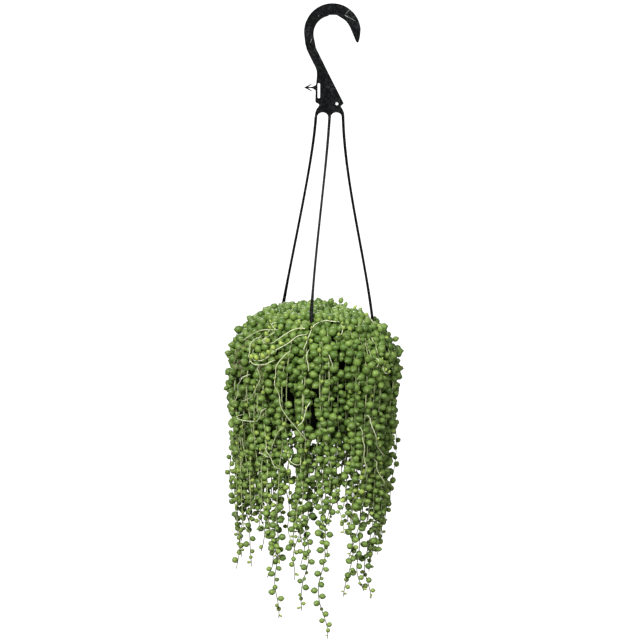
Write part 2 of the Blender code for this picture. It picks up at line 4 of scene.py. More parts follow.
import bpy
import numpy as np
from mathutils.geometry import tessellate_polygon
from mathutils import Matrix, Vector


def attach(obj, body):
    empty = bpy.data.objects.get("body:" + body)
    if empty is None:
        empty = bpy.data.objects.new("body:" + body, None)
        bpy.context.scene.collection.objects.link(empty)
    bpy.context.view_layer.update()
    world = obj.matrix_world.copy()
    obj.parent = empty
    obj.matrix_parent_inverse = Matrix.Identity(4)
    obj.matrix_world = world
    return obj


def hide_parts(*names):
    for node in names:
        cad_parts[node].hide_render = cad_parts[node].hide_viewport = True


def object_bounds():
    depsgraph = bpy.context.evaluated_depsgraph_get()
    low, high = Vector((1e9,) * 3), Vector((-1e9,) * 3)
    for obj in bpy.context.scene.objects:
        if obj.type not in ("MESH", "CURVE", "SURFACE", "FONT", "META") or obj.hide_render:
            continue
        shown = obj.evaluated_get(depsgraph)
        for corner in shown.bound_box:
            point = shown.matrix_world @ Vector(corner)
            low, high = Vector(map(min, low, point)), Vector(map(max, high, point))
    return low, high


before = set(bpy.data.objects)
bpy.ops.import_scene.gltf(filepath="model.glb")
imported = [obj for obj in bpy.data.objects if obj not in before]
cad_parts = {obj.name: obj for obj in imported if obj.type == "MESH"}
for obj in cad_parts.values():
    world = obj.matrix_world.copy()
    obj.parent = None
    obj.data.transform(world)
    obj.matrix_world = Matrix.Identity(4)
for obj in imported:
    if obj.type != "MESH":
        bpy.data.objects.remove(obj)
cad_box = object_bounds()


# The nursery pot is thin black polypropylene, moulded with a turned-out rim, three slots in the
# rim for the hanger's legs and four drain holes in its base. The plant hides nearly all of it.

MM = 0.001
POT_AXIS_X = -12.5
RIM_Z = -345.5
POT_HEIGHT = 110.0
BASE_RADIUS = 42.0
WALL_RADIUS = 58.6
WALL_THICKNESS = 1.5
SKIRT_RADIUS = 62.2
SKIRT_DEPTH = 6.0
RIM_RADIUS = 63.5
RIM_THICKNESS = 1.8
POT_COLUMNS = 96
SLOT_RING_RADIUS = 60.4
SLOT_ANGLES = (-11.2, 108.8, 228.8)
SLOT_HALF_WIDTH = 1.8
SLOT_HALF_DEPTH = 1.2
DRAIN_RING_RADIUS = 22.0
DRAIN_RADIUS = 4.0


def srgb(red, green, blue):
    """A colour given as it looks on a screen, 0 to 255, as the linear values of a shader."""
    shares = (np.array((red, green, blue)) / 255.0 + 0.055) / 1.055
    return (*(float(share) for share in shares**2.4), 1.0)


class Value:
    """A number in a shader that can stand in sums: each operator adds one Math node."""

    def __init__(self, paint, socket):
        self.paint, self.socket = paint, socket

    def __add__(self, other):
        return self.paint.maths("ADD", self, other)

    def __sub__(self, other):
        return self.paint.maths("SUBTRACT", self, other)

    def __rsub__(self, other):
        return self.paint.maths("SUBTRACT", other, self)

    def __mul__(self, other):
        return self.paint.maths("MULTIPLY", self, other)

    __radd__ = __add__
    __rmul__ = __mul__


class Paint:
    """A material on one Principled shader. Fixed values go straight on the shader's sockets."""

    def __init__(self, name, fixed):
        self.material = bpy.data.materials.new(name)
        self.material.use_nodes = True
        self.tree = self.material.node_tree
        self.shader = self.tree.nodes["Principled BSDF"]
        for socket, value in fixed.items():
            self.shader.inputs[socket].default_value = value

    def node(self, kind, settings, inputs, output=0):
        """Add a node, its settings before its sockets' values or links, and return one output."""
        added = self.tree.nodes.new(kind)
        for name, setting in settings.items():
            setattr(added, name, setting)
        for name, given in inputs.items():
            self.feed(added.inputs[name], given)
        return Value(self, added.outputs[output])

    def feed(self, socket, given):
        if isinstance(given, Value):
            self.tree.links.new(given.socket, socket)
        else:
            socket.default_value = given

    def maths(self, operation, first, second):
        return self.node("ShaderNodeMath", {"operation": operation}, {0: first, 1: second})

    def mix(self, share, first, second):
        """The first colour going over to the second as the share goes from 0 to 1."""
        return self.node("ShaderNodeMix", {"data_type": "RGBA"}, {0: share, 6: first, 7: second}, 2)

    def coats(self, colour, *coats):
        """A colour with others laid over it in turn, each given as its share and itself."""
        colour = srgb(*colour)
        for share, over in coats:
            colour = self.mix(share, colour, srgb(*over))
        return colour

    def along(self, axis, vector):
        """One coordinate of a vector."""
        return self.node("ShaderNodeSeparateXYZ", {}, {"Vector": vector}, axis)

    def ramp(self, given, low, high):
        """0 below low, 1 above high and a smooth climb between them."""
        limits = {"Value": given, "From Min": low, "From Max": high}
        return self.node("ShaderNodeMapRange", {"interpolation_type": "SMOOTHSTEP"}, limits)

    def place(self):
        return self.node("ShaderNodeTexCoord", {}, {}, "Object")

    def noise(self, scale, detail=2.0):
        """Soft noise in the object's own coordinates, the scale in blobs a metre."""
        return self.node("ShaderNodeTexNoise", {}, {"Vector": self.place(), "Scale": scale, "Detail": detail})

    def attribute(self, name):
        return self.node("ShaderNodeAttribute", {"attribute_name": name}, {}, "Fac")

    def finish(self, colour, roughness=None, relief=None, depth=0.0):
        """Join the worked-out colour, roughness and relief, its depth in metres, to the shader."""
        self.feed(self.shader.inputs["Base Color"], colour)
        if roughness is not None:
            self.feed(self.shader.inputs["Roughness"], roughness)
        if relief is not None:
            bump = self.node("ShaderNodeBump", {}, {"Height": relief, "Distance": depth, "Strength": 1.0})
            self.feed(self.shader.inputs["Normal"], bump)
        return self.material


def lathe(first, rings, last, finish=0, tint=0.0, age=0.0):
    """Closed bodies, each from a first point through rings of points to a last point.

    first and last are (bodies, 3) and rings is (bodies, rows, columns, 3), in millimetres. Round
    the ring times along the body points outwards. The skin map holds the share of each way.
    """
    bodies, rows, columns = rings.shape[:3]
    count = rows * columns + 2
    points = np.concatenate((first[:, None], rings.reshape(bodies, count - 2, 3), last[:, None]), axis=1)
    faces, skin = [], []
    for row_range, corners in (
        (np.arange(1), ((0, 0.5), (1, 1), (1, 0))),
        (np.arange(1, rows), ((0, 0), (0, 1), (1, 1), (1, 0))),
        (np.arange(rows, rows + 1), ((0, 0), (0, 1), (1, 0.5))),
    ):
        row, column = np.meshgrid(row_range, np.arange(columns), indexing="ij")
        row = np.stack([row + down for down, across in corners], axis=-1).reshape(-1, len(corners))
        column = np.stack([column + across for down, across in corners], axis=-1).reshape(row.shape)
        index = 1 + (row - 1) * columns + column.astype(int) % columns
        index = np.where(row == 0, 0, np.where(row == rows + 1, count - 1, index))
        faces.append((index + np.arange(bodies)[:, None, None] * count).reshape(-1, len(corners)))
        shares = np.stack((column / columns, row / (rows + 1)), axis=-1).reshape(-1, 2)
        skin.append(np.tile(shares, (bodies, 1)))
    tint, age = [np.repeat(np.broadcast_to(number, bodies), count) for number in (tint, age)]
    return {"points": points.reshape(-1, 3), "faces": faces, "skin": np.concatenate(skin),
            "finish": finish, "tint": tint, "age": age}


def add_object(name, data):
    """A new object at the origin of the scene."""
    added = bpy.data.objects.new(name, data)
    bpy.context.scene.collection.objects.link(added)
    return added


def put_piece(name, parts, finishes, crease=None):
    """Join parts into one mesh in metres, with its skin map, its two point numbers and finishes."""
    starts = np.cumsum([0] + [len(part["points"]) for part in parts])
    groups = [(group + start, part["finish"])
              for part, start in zip(parts, starts) for group in part["faces"]]
    corners = np.concatenate([group.ravel() for group, finish in groups]).astype(np.int32)
    kinds = [np.tile((group.shape[1], finish), (len(group), 1)) for group, finish in groups]
    sizes, finish_numbers = np.concatenate(kinds).astype(np.int32).T
    mesh = bpy.data.meshes.new(name)
    mesh.vertices.add(starts[-1])
    mesh.vertices.foreach_set("co", np.concatenate([part["points"] for part in parts]).ravel() * MM)
    mesh.loops.add(len(corners))
    mesh.loops.foreach_set("vertex_index", corners)
    mesh.polygons.add(len(sizes))
    mesh.polygons.foreach_set("loop_start", (np.cumsum(sizes) - sizes).astype(np.int32))
    mesh.polygons.foreach_set("material_index", finish_numbers.copy())
    mesh.polygons.foreach_set("use_smooth", np.ones(len(sizes), bool))
    mesh.update(calc_edges=True)
    skin = mesh.uv_layers.new(name="skin")
    skin.data.foreach_set("uv", np.concatenate([part["skin"] for part in parts]).ravel())
    for number in ("tint", "age"):
        values = np.concatenate([part[number] for part in parts])
        mesh.attributes.new(number, "FLOAT", "POINT").data.foreach_set("value", values)
    mesh.validate()
    for finish in finishes:
        mesh.materials.append(finish)
    if crease is not None:
        mesh.set_sharp_from_angle(angle=radians(crease))
    return add_object(name, mesh)


def round_the_pot(radius, turn, height):
    """Points round the pot's axis: turn runs from the front, -Y, towards +X, height from the rim."""
    radius, turn, height = np.broadcast_arrays(radius, turn, height)
    return np.stack((POT_AXIS_X + radius * np.sin(turn), -radius * np.cos(turn), RIM_Z + height), axis=-1)


def rim_way(turn):
    """The direction along the rim at a turn round the pot."""
    return np.array((cos(turn), sin(turn), 0.0))


def once_round(count):
    """Evenly spaced angles once round."""
    return np.linspace(0.0, 2.0 * pi, count, endpoint=False)


def turned(profile, columns):
    """The closed body that a profile of (radius, height) sweeps round the axis, on it at both ends."""
    profile = np.array(profile)
    rings = round_the_pot(profile[1:-1, :1], once_round(columns), profile[1:-1, 1:])[None]
    ends = round_the_pot(0.0, 0.0, profile[[0, -1], 1])
    return lathe(ends[:1], rings, ends[1:])


def corner(centre, radius, start, end, steps=5):
    """Points of a rounded corner in the plane of a profile, its angles from outwards in degrees."""
    turn = np.radians(np.linspace(start, end, steps))
    return [(centre[0] + radius * cos(angle), centre[1] + radius * sin(angle)) for angle in turn]


def cut(piece, cutter):
    """Take a cutter out of a piece and keep the cut mesh."""
    cutting = piece.modifiers.new("cut", "BOOLEAN")
    cutting.operation = "DIFFERENCE"
    cutting.solver = "EXACT"
    cutting.object = cutter
    graph = bpy.context.evaluated_depsgraph_get()
    whole = piece.data
    piece.data = bpy.data.meshes.new_from_object(piece.evaluated_get(graph))
    piece.modifiers.clear()
    bpy.data.meshes.remove(whole)
    bpy.data.objects.remove(cutter)


def peg(centre, across, along, half_across, half_along, half_height, sides):
    """An upright cutter with an oval or, with four sides, a square plan."""
    turn = once_round(sides)[:, None] + pi / sides
    size = 1.0 / cos(pi / sides) if sides == 4 else 1.0
    ring = centre + size * (half_across * np.cos(turn) * across + half_along * np.sin(turn) * along)
    rise = np.array((0.0, 0.0, half_height))
    return lathe((centre - rise)[None], np.stack((ring - rise, ring + rise))[None], (centre + rise)[None])


wall_inside = WALL_RADIUS - WALL_THICKNESS
base_inside = BASE_RADIUS - WALL_THICKNESS
floor_inside = -POT_HEIGHT + WALL_THICKNESS
pot_profile = [
    (0.0, -POT_HEIGHT), (BASE_RADIUS - 6.0, -POT_HEIGHT),
    *corner((BASE_RADIUS - 1.5, -POT_HEIGHT + 1.5), 1.5, -90.0, -8.0),
    (WALL_RADIUS, -RIM_THICKNESS - 0.8), (WALL_RADIUS + 0.5, -RIM_THICKNESS),
    (SKIRT_RADIUS - 0.3, -RIM_THICKNESS), (SKIRT_RADIUS, -RIM_THICKNESS - 0.3),
    (SKIRT_RADIUS, -SKIRT_DEPTH), (RIM_RADIUS - 0.2, -SKIRT_DEPTH), (RIM_RADIUS, -SKIRT_DEPTH + 0.3),
    *corner((RIM_RADIUS - 0.7, -0.7), 0.7, 0.0, 90.0),
    *corner((wall_inside + 0.6, -0.6), 0.6, 90.0, 180.0),
    (base_inside, floor_inside + 1.0), (base_inside - 1.0, floor_inside), (0.0, floor_inside),
]

plastic = Paint("pot plastic", {"Specular IOR Level": 0.35})
dust = plastic.ramp(plastic.noise(55.0, 3.0), 0.45, 0.75)
scuff = plastic.ramp(plastic.noise(900.0, 2.0), 0.55, 0.75)
pot_colour = plastic.coats((20, 21, 22), (dust * 0.5 + scuff * 0.15, (52, 52, 50)))
pot_plastic = plastic.finish(pot_colour, 0.42 + dust * 0.2, plastic.noise(1400.0), 0.00006)

pot = put_piece("nursery_pot", [turned(pot_profile, POT_COLUMNS)], [pot_plastic])
drain_turns = np.radians((45.0, 135.0, 225.0, 315.0))
pot_cutters = [peg(place, *np.eye(3)[:2], DRAIN_RADIUS, DRAIN_RADIUS, 3.0, 24)
               for place in round_the_pot(DRAIN_RING_RADIUS, drain_turns, -POT_HEIGHT)]
for angle in np.radians(SLOT_ANGLES):
    outward = np.array((sin(angle), -cos(angle), 0.0))
    centre = round_the_pot(SLOT_RING_RADIUS, angle, -0.5 * RIM_THICKNESS)
    pot_cutters.append(peg(centre, rim_way(angle), outward, SLOT_HALF_WIDTH, SLOT_HALF_DEPTH, 2.0, 4))
cut(pot, put_piece("pot_cutters", pot_cutters, []))
pot.data.set_sharp_from_angle(angle=radians(35.0))
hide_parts("pot")
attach(pot, "root")


# The hanger is one flat moulding of near-black plastic with a fine raised edge: a hook, a plate
# with a slot, a pin hole and a tag barb, and three thin legs whose feet clip into the rim.

PLATE_HALF_DEPTH = 1.8
BARB_HALF_DEPTH = 1.0
LEG_SPANS = ((-20.4, -17.2), (-5.3, -2.1), (9.6, 12.8))
LEG_TOP_Z = -113.0
ARCH_SPRING_Z = -111.0
ARCH_RISE = 5.0
HOOK_OUTER = ((-0.6, -18.4), 31.1)
HOOK_INNER = ((-1.5, -20.6), 19.7)
CORNER_ROOM = 0.9
LEG_STEPS = 48
# A leg's end from the foot on the rim, by the neck in the slot, to the barb under it: heights from
# the rim, half widths and half depths.
CLIP_HEIGHTS = (4.0, 1.4, 0.4, 0.3, -2.1, -2.2, -2.6, -4.6, -7.1)
CLIP_HALF_WIDTHS = (2.3, 2.2, 2.0, 1.5, 1.5, 2.2, 2.1, 1.3, 0.7)
CLIP_HALF_DEPTHS = (1.1, 1.1, 1.0, 0.9, 0.9, 0.9, 0.9, 0.7, 0.5)
# Inset from the outline and share of the half depth, from the front panel round to the back.
PLATE_EDGE = ((0.75, -0.87), (0.55, -1.0), (0.25, -1.0), (0.08, -0.95), (0.0, -0.84),
              (0.0, 0.84), (0.08, 0.95), (0.25, 1.0), (0.55, 1.0), (0.75, 0.87))
# The legs' upper and lower curve handles and their twist, measured along them in the photo.
LEG_CURVES = (
    ((-22.3, 6.2, -164.1), (-46.8, 30.1, -269.8), 48.8, SLOT_ANGLES[2]),
    ((-7.3, -8.6, -174.0), (-22.0, -49.7, -267.6), -11.2, SLOT_ANGLES[0]),
    ((13.4, 2.2, -182.8), (35.3, 14.8, -262.9), -71.2, SLOT_ANGLES[1]),
)


def arch(left, right):
    """The round arch between two legs, from its left foot to its right foot."""
    middle, half = 0.5 * (left + right), 0.5 * (right - left)
    return [(middle + half * cos(turn), ARCH_SPRING_Z + ARCH_RISE * sin(turn))
            for turn in np.linspace(pi, 0.0, 17)]


def lengths(vectors):
    return np.linalg.norm(vectors, axis=-1, keepdims=True)


def rounded(points):
    """An outline whose corners are cut by short curves, a fixed length or a third of the edge."""
    points = np.array(points)
    ends = []
    for step in (1, -1):
        edge = np.roll(points, step, axis=0) - points
        length = lengths(edge)
        ends.append((points + edge / length * np.minimum(CORNER_ROOM, length / 3.0))[:, None])
    share = np.linspace(0.0, 1.0, 5)[None, :, None]
    curve = ends[0] * (1.0 - share) ** 2 + points[:, None] * 2.0 * share * (1.0 - share) + ends[1] * share**2
    return curve.reshape(-1, 2)


def rimmed_rings(outline, inset_share):
    """Rings of (x, depth, z) that carry the plate's edge profile round an outline, front to back."""
    ahead = np.roll(outline, -1, axis=0) - np.roll(outline, 1, axis=0)
    normal = np.stack((ahead[:, 1], -ahead[:, 0]), axis=1) / lengths(ahead)
    area = np.sum(outline[:, 0] * np.roll(outline[:, 1], -1) - np.roll(outline[:, 0], -1) * outline[:, 1])
    on_barb = (outline[:, 0] < -20.0) & (outline[:, 1] < -74.0) & (outline[:, 1] > -84.0)
    inset = np.where(on_barb, 0.3, inset_share)[:, None] * (-normal if area > 0.0 else normal)
    depth = np.where(on_barb, BARB_HALF_DEPTH, PLATE_HALF_DEPTH)
    moved = [outline + inset * away for away, share in PLATE_EDGE]
    return np.array([np.stack((ring[:, 0], depth * share, ring[:, 1]), axis=1)
                     for ring, (away, share) in zip(moved, PLATE_EDGE)])


def flat_plate(outline, holes):
    """The plate: its edge profile carried round the outline and the holes, both faces filled."""
    loops = [rimmed_rings(outline, 1.0)] + [rimmed_rings(hole, -0.6) for hole in holes]
    starts = np.cumsum([0] + [rings.size // 3 for rings in loops])
    grids = [start + np.arange(rings.size // 3).reshape(rings.shape[:2])
             for rings, start in zip(loops, starts)]
    faces = []
    for grid in grids:
        ahead = np.roll(grid, -1, axis=1)
        faces.append(np.stack((grid[:-1], ahead[:-1], ahead[1:], grid[1:]), axis=-1).reshape(-1, 4))
    for ring in (0, -1):
        triangles = tessellate_polygon([[(x, z, 0.0) for x, y, z in rings[ring]] for rings in loops])
        faces.append(np.concatenate([grid[ring] for grid in grids])[np.array(triangles)])
    points = np.concatenate([rings.reshape(-1, 3) for rings in loops])
    corners = sum(group.size for group in faces)
    zero = np.zeros(len(points))
    return {"points": points, "faces": faces, "skin": np.zeros((corners, 2)),
            "finish": 0, "tint": zero, "age": zero}


def held(values):
    """Values held between 0 and 1."""
    return np.clip(values, 0.0, 1.0)


def leg(span, upper, lower, twist, foot_angle):
    """A leg: a rounded oblong section carried down a cubic curve, and on down the clip end.

    The section is an oval raised to a low power, and turns slowly on its way.
    """
    share = np.linspace(0.0, 1.0, LEG_STEPS + 1)[:, None]
    first = np.array((0.5 * sum(span), 0.0, LEG_TOP_Z + 1.5))
    foot = round_the_pot(SLOT_RING_RADIUS, radians(foot_angle), 9.0)
    path = first * (1 - share) ** 3 + np.array(upper) * 3.0 * share * (1 - share) ** 2
    path = path + np.array(lower) * 3.0 * share**2 * (1 - share) + foot * share**3
    clip = round_the_pot(SLOT_RING_RADIUS, radians(foot_angle), CLIP_HEIGHTS)
    share = share[:, 0]
    taper = np.minimum(1.0, 3.0 * share)
    widening = held((share - 0.8) / 0.2)
    half_width = np.concatenate((1.6 - 0.3 * taper + widening, CLIP_HALF_WIDTHS))
    half_depth = np.concatenate((1.75 - 0.6 * taper, CLIP_HALF_DEPTHS))
    centres = np.concatenate((path, clip))
    turn = radians(twist) * np.minimum(1.0, np.arange(len(centres)) / LEG_STEPS)
    side = np.stack((np.cos(turn), np.sin(turn), 0.0 * turn), axis=1)
    front = np.stack((np.sin(turn), -np.cos(turn), 0.0 * turn), axis=1)
    around = once_round(20) + pi / 20.0
    across, through = [np.sign(wave) * np.abs(wave) ** 0.45 for wave in (np.cos(around), np.sin(around))]
    rings = (centres[:, None] + (half_width[:, None] * across)[:, :, None] * side[:, None]
             + (half_depth[:, None] * through)[:, :, None] * front[:, None])
    return lathe(centres[:1], rings[None], centres[-1:])


outline = [
    (26.8, -30.1), (28.3, -28.9), (29.4, -24.5), (30.0, -19.5),
    *corner(*HOOK_OUTER, 6.0, 188.0, 61),
    (-30.4, -31.4), (-28.6, -37.8), (-26.0, -43.4), (-22.0, -51.4), (-19.0, -57.0), (-17.8, -61.0),
    (-17.7, -66.2), (-18.3, -73.0), (-18.6, -75.9), (-22.6, -78.0), (-27.4, -78.2), (-23.5, -75.7),
    (-23.0, -74.4), (-31.9, -78.8), (-23.0, -83.2), (-23.5, -81.9), (-27.4, -79.4), (-22.6, -79.6),
    (-19.0, -81.9), (-19.4, -94.2), (-18.4, -95.6), (-15.8, -96.6), (-15.0, -98.0), (-15.8, -99.6),
    (-18.2, -102.6), (-19.6, -107.0), *[(x, LEG_TOP_Z) for x in LEG_SPANS[0]],
]
for left_leg, right_leg in zip(LEG_SPANS, LEG_SPANS[1:]):
    outline += arch(left_leg[1], right_leg[0]) + [(x, LEG_TOP_Z) for x in right_leg]
outline += [
    (12.6, -107.5), (11.2, -103.4), (8.5, -99.3), (12.0, -96.2), (-5.2, -62.6), (-12.6, -47.6),
    (-18.6, -35.6),
    *corner(*HOOK_INNER, 196.0, 101.0, 31),
    (-4.1, 0.0), (3.7, 0.0), (7.0, -1.9), (9.8, -3.6), (12.5, -5.3), (14.8, -7.4),
    (16.9, -10.3), (18.8, -13.6), (21.8, -20.6), (24.3, -26.7), (25.5, -29.3),
]
slot_hole = corner((-15.5, -75.4), 1.35, 0.0, 180.0, 9) + corner((-15.5, -89.2), 1.35, 180.0, 360.0, 9)
pin_hole = corner((4.4, -96.6), 1.6, 0.0, 345.0, 24)

charcoal = Paint("hanger plastic", {"Roughness": 0.6, "Specular IOR Level": 0.07})
mottle = charcoal.ramp(charcoal.noise(420.0, 4.0), 0.42, 0.72)
cloud = charcoal.ramp(charcoal.noise(70.0, 2.0), 0.35, 0.7)
hanger_colour = charcoal.coats((11, 12, 13), (mottle * (0.35 + cloud * 0.5), (52, 54, 55)))
place = charcoal.place()
# Pale scuffs on the hook, each its middle in x and z, its length in millimetres and its slope.
for x, z, length, slope in ((18.5, -3.2, 16.0, -0.49), (16.5, 4.0, 9.0, 0.79), (-11.4, -48.5, 8.0, -0.52),
                            (-15.5, -1.0, 1.6, 0.3), (-9.0, -3.5, 1.4, -0.8), (-24.0, -28.0, 5.0, 1.2)):
    turned_place = charcoal.node("ShaderNodeMapping", {"vector_type": "TEXTURE"}, {
        "Vector": place, "Location": (x * MM, 0.0, z * MM), "Rotation": (0.0, -slope, 0.0)})
    off_line, off_middle = [charcoal.maths("ABSOLUTE", charcoal.along(axis, turned_place), 0.0)
                            for axis in "ZX"]
    on_line = 1.0 - charcoal.ramp(off_line, 0.0002, 0.0006)
    on_line = on_line * (1.0 - charcoal.ramp(off_middle, 0.3 * length * MM, 0.5 * length * MM))
    hanger_colour = charcoal.mix(on_line * (0.35 + mottle * 0.5), hanger_colour, srgb(168, 172, 170))
hanger_plastic = charcoal.finish(hanger_colour, 0.36 + cloud * 0.16, charcoal.noise(1100.0, 3.0), 0.00008)

hanger_parts = [flat_plate(rounded(outline), [np.array(slot_hole), np.array(pin_hole)])]
hanger_parts += [leg(span, *curve) for span, curve in zip(LEG_SPANS, LEG_CURVES)]
hanger = put_piece("hook_hanger", hanger_parts, [hanger_plastic], 40.0)
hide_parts("hanger")
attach(hanger, "root")


# The potting mix fills the pot to a finger's width below the rim: dark peat with bark crumbs and
# a few white grains of perlite, level but rough on top.

SOIL_TOP = -10.0
SOIL_BASE = -POT_HEIGHT + WALL_THICKNESS + 0.3
SOIL_BASE_RADIUS = 39.9
SOIL_TOP_RADIUS = 55.3
profile = [(0.0, SOIL_BASE), (SOIL_BASE_RADIUS, SOIL_BASE), (SOIL_TOP_RADIUS, SOIL_TOP - 0.6)]
profile += [(radius, SOIL_TOP) for radius in np.linspace(SOIL_TOP_RADIUS - 0.4, 2.0, 34)] + [(0.0, SOIL_TOP)]
soil_part = turned(profile, 120)
heap = soil_part["points"][:, 2] > RIM_Z + SOIL_TOP - 0.1
crumb_chance = np.random.default_rng(5)
soil_part["points"][heap, 2] += crumb_chance.normal(0.0, 0.7, heap.sum()).clip(-1.6, 1.2)

peat = Paint("potting mix", {"Specular IOR Level": 0.2, "Roughness": 0.9})
grain = peat.node("ShaderNodeTexVoronoi", {}, {"Vector": peat.place(), "Scale": 420.0}, "Color")
grain_size = peat.node("ShaderNodeSeparateColor", {}, {"Color": grain}, "Red")
peat_colour = peat.coats((38, 28, 20), (peat.ramp(peat.noise(260.0, 4.0), 0.35, 0.7), (86, 62, 42)),
                         (peat.ramp(grain_size, 0.93, 0.95), (206, 200, 186)))
potting_mix = peat.finish(peat_colour, None, peat.noise(900.0, 4.0), 0.0006)
soil = put_piece("potting_mix", [soil_part], [potting_mix])
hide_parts("soil")
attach(soil, "root")


# The plant is a string of pearls: thread-thin stems root in three rings of the mix, climb over
# the rim and hang down, with round fleshy leaves on alternate sides. Each leaf is a pearl with a
# short stalk, a small point and a fine dark slit. The stems are pale and the pearls waxy green.

STRAND_SEED = 7
FIRST_ANGLE = -11.2
STRAND_STEP = 24.0
FRONT_DROP = 22.0
LOOSE_BELOW = 235.0
LONG_DROPS = {("outer", 0): 337.0, ("outer", 1): 292.0, ("outer", 2): 303.0, ("middle", 2): 290.0,
              ("middle", 0): 306.0, ("middle", 14): 318.0, ("outer", 11): 268.0}
# Each layer: the radius where its stems root, the radius and height where they crest and where
# they begin to hang, how far that leans left, the power of the bend, the layer's turn, the height
# where pearls begin on the way up, or None for only outside the rim, the usual drop below the
# rim, the side shoots of a strand and how far apart its pearls stand.
LAYER_NUMBERS = ("root", "crest", "crest_height", "hang", "hang_height", "lean", "bend", "turn",
                 "first_pearl", "usual_drop", "sisters", "sparse")
LAYERS = {layer_name: dict(zip(LAYER_NUMBERS, values)) for layer_name, *values in (
    ("outer", 42.0, 58.0, 18.0, 92.5, -50.0, 8.5, 1.2, 12.0, 2.0, 182.0, 3, 1.0),
    ("middle", 46.5, 60.5, 10.0, 81.0, -50.0, 5.0, 1.0, 0.0, 0.0, 172.0, 3, 1.05),
    ("inner", 51.5, 62.0, 3.4, 70.6, -22.0, 2.5, 1.0, 12.0, None, 142.0, 1, 1.5),
)}
# How far a side shoot may differ from its main strand.
SISTER_SHAKES = {"root": (-7.0, 2.0), "crest": (-6.0, 3.0), "crest_height": (-5.0, 0.0),
                 "hang": (-7.0, 1.0), "hang_height": (-12.0, 4.0)}
# The outside of the whole plant, measured in the photo: its radius about the pot's axis by the
# height from the rim, how much less that is on the right and more on the left, how much less at
# the back and round the right leg, both above the rim, and how much further in the left side of
# the curtain lies, which only loose strands hang outside.
COVER_HEIGHTS = (-360.0, -260.0, -206.0, -109.0, -81.0, -54.0, -40.0, -26.0, -15.0, -5.0, 3.0, 9.0, 14.0,
                 19.0, 23.0, 26.5, 29.5)
COVER_RADII = (90.0, 88.0, 94.0, 97.0, 99.0, 101.0, 100.0, 97.0, 92.0, 86.0, 78.0, 74.0, 67.0,
               56.0, 49.0, 30.0, 0.0)
COVER_LEAN = 10.0
COVER_BACK = 11.0
COVER_DIP = 10.0
DIP_ANGLE = radians(105.0)
COVER_SLACK = 5.5
LUMP_HEIGHT = 4.5
PEARL_RADIUS = 4.8
PEARL_SIDES = 9
PEARL_SIZES = (0.62, 0.74, 0.86, 0.94, 1.0, 1.03, 1.06, 1.09)
# A pearl's outline from its stalk to its point: the distance from its middle and its radius.
PEARL_ALONG = np.array((-0.97, -0.70, -0.05, 0.58, 0.93, 1.18))
PEARL_AROUND = np.array((0.17, 0.72, 1.0, 0.80, 0.30))
LEAF_TURN = 137.5
STEM_SIDES = 5
STEM_STEP = 4.0
STEM_DEPTH = 5.0
CLEAR_OF_POT = 65.0
ABOVE_RIM = 1.2
# How far below the rim the stems begin to swing, the degrees a millimetre of their waves, how far
# they lean in and to the left, how wide they curl and wave lowest down, and how far those beside
# a leg keep aside from it.
SWING_STARTS = 50.0
WAVE_TURN = 2.1
LEAN_IN = 0.02
LEAN_LEFT = 4.0
CURL_WIDTH = 14.0
LOW_WAVE = 5.5
LEG_DETOUR = 4.6


def front_drop(angle):
    """How much lower a strand hangs than at the back: a cosine, largest in front."""
    return FRONT_DROP * (0.5 + 0.5 * cos(radians(angle)))


def strand_plan(layer_name, step):
    """The seeded numbers of one main strand: its drop below the rim, phase, sway and curl."""
    layer = LAYERS[layer_name]
    chance = random.Random(STRAND_SEED * 1000 + list(LAYERS).index(layer_name) * 100 + step)
    angle = FIRST_ANGLE + layer["turn"] + STRAND_STEP * step
    drop = layer["usual_drop"] + front_drop(angle) + chance.uniform(-26.0, 20.0)
    return dict(layer, angle=angle, drop=LONG_DROPS.get((layer_name, step), drop),
                hang=layer["hang"] - layer["lean"] * sin(radians(angle)),
                phase=chance.uniform(0.0, 360.0), sway=chance.uniform(0.6, 1.3),
                curl=chance.uniform(-1.0, 1.0), drift=0.0, loose_below=LOOSE_BELOW,
                beside_leg=layer_name == "middle" and step % 5 == 0)


def sister_plan(plan, chance, share):
    """A side shoot's numbers: those of its main strand, moved round the pot and shaken."""
    angle = plan["angle"] + STRAND_STEP * share + chance.uniform(-2.5, 2.5)
    shaken = {name: plan[name] + chance.uniform(*limits) for name, limits in SISTER_SHAKES.items()}
    return dict(plan, **shaken, angle=angle,
                drop=plan["usual_drop"] + front_drop(angle) + chance.triangular(-52.0, 78.0, 36.0),
                phase=chance.uniform(0.0, 360.0), sway=chance.uniform(1.0, 3.6),
                curl=chance.uniform(-1.1, 1.1), drift=chance.gauss(0.0, 5.0), loose_below=135.0,
                beside_leg=False, sparse=plan["sparse"] * chance.uniform(1.0, 1.35))


def fade(values, start, end):
    """0 up to the start, 1 from the end on and an even climb between them."""
    return held((values - start) / (end - start))


def cover_radius(height, side, back):
    """The plant's outer radius at heights from the rim; side is 1 on the right, back 1 at the back."""
    less = COVER_LEAN * side + COVER_BACK * back * fade(height, 0.0, 18.0)
    facing_dip = side * sin(DIP_ANGLE) - back * cos(DIP_ANGLE)
    less = less + COVER_DIP * held(facing_dip / 0.2 - 3.9) * held(1.0 + height / 5.0)
    hanging = fade(-height, 95.0, 125.0) * fade(height, -240.0, -200.0)
    less = less + COVER_SLACK * hanging * held(-side) ** 2
    return np.interp(height, COVER_HEIGHTS, COVER_RADII) - less


def path_lengths(points):
    """The distance along a path at each of its points."""
    return np.concatenate(([0.0], np.cumsum(np.linalg.norm(np.diff(points, axis=0), axis=1))))


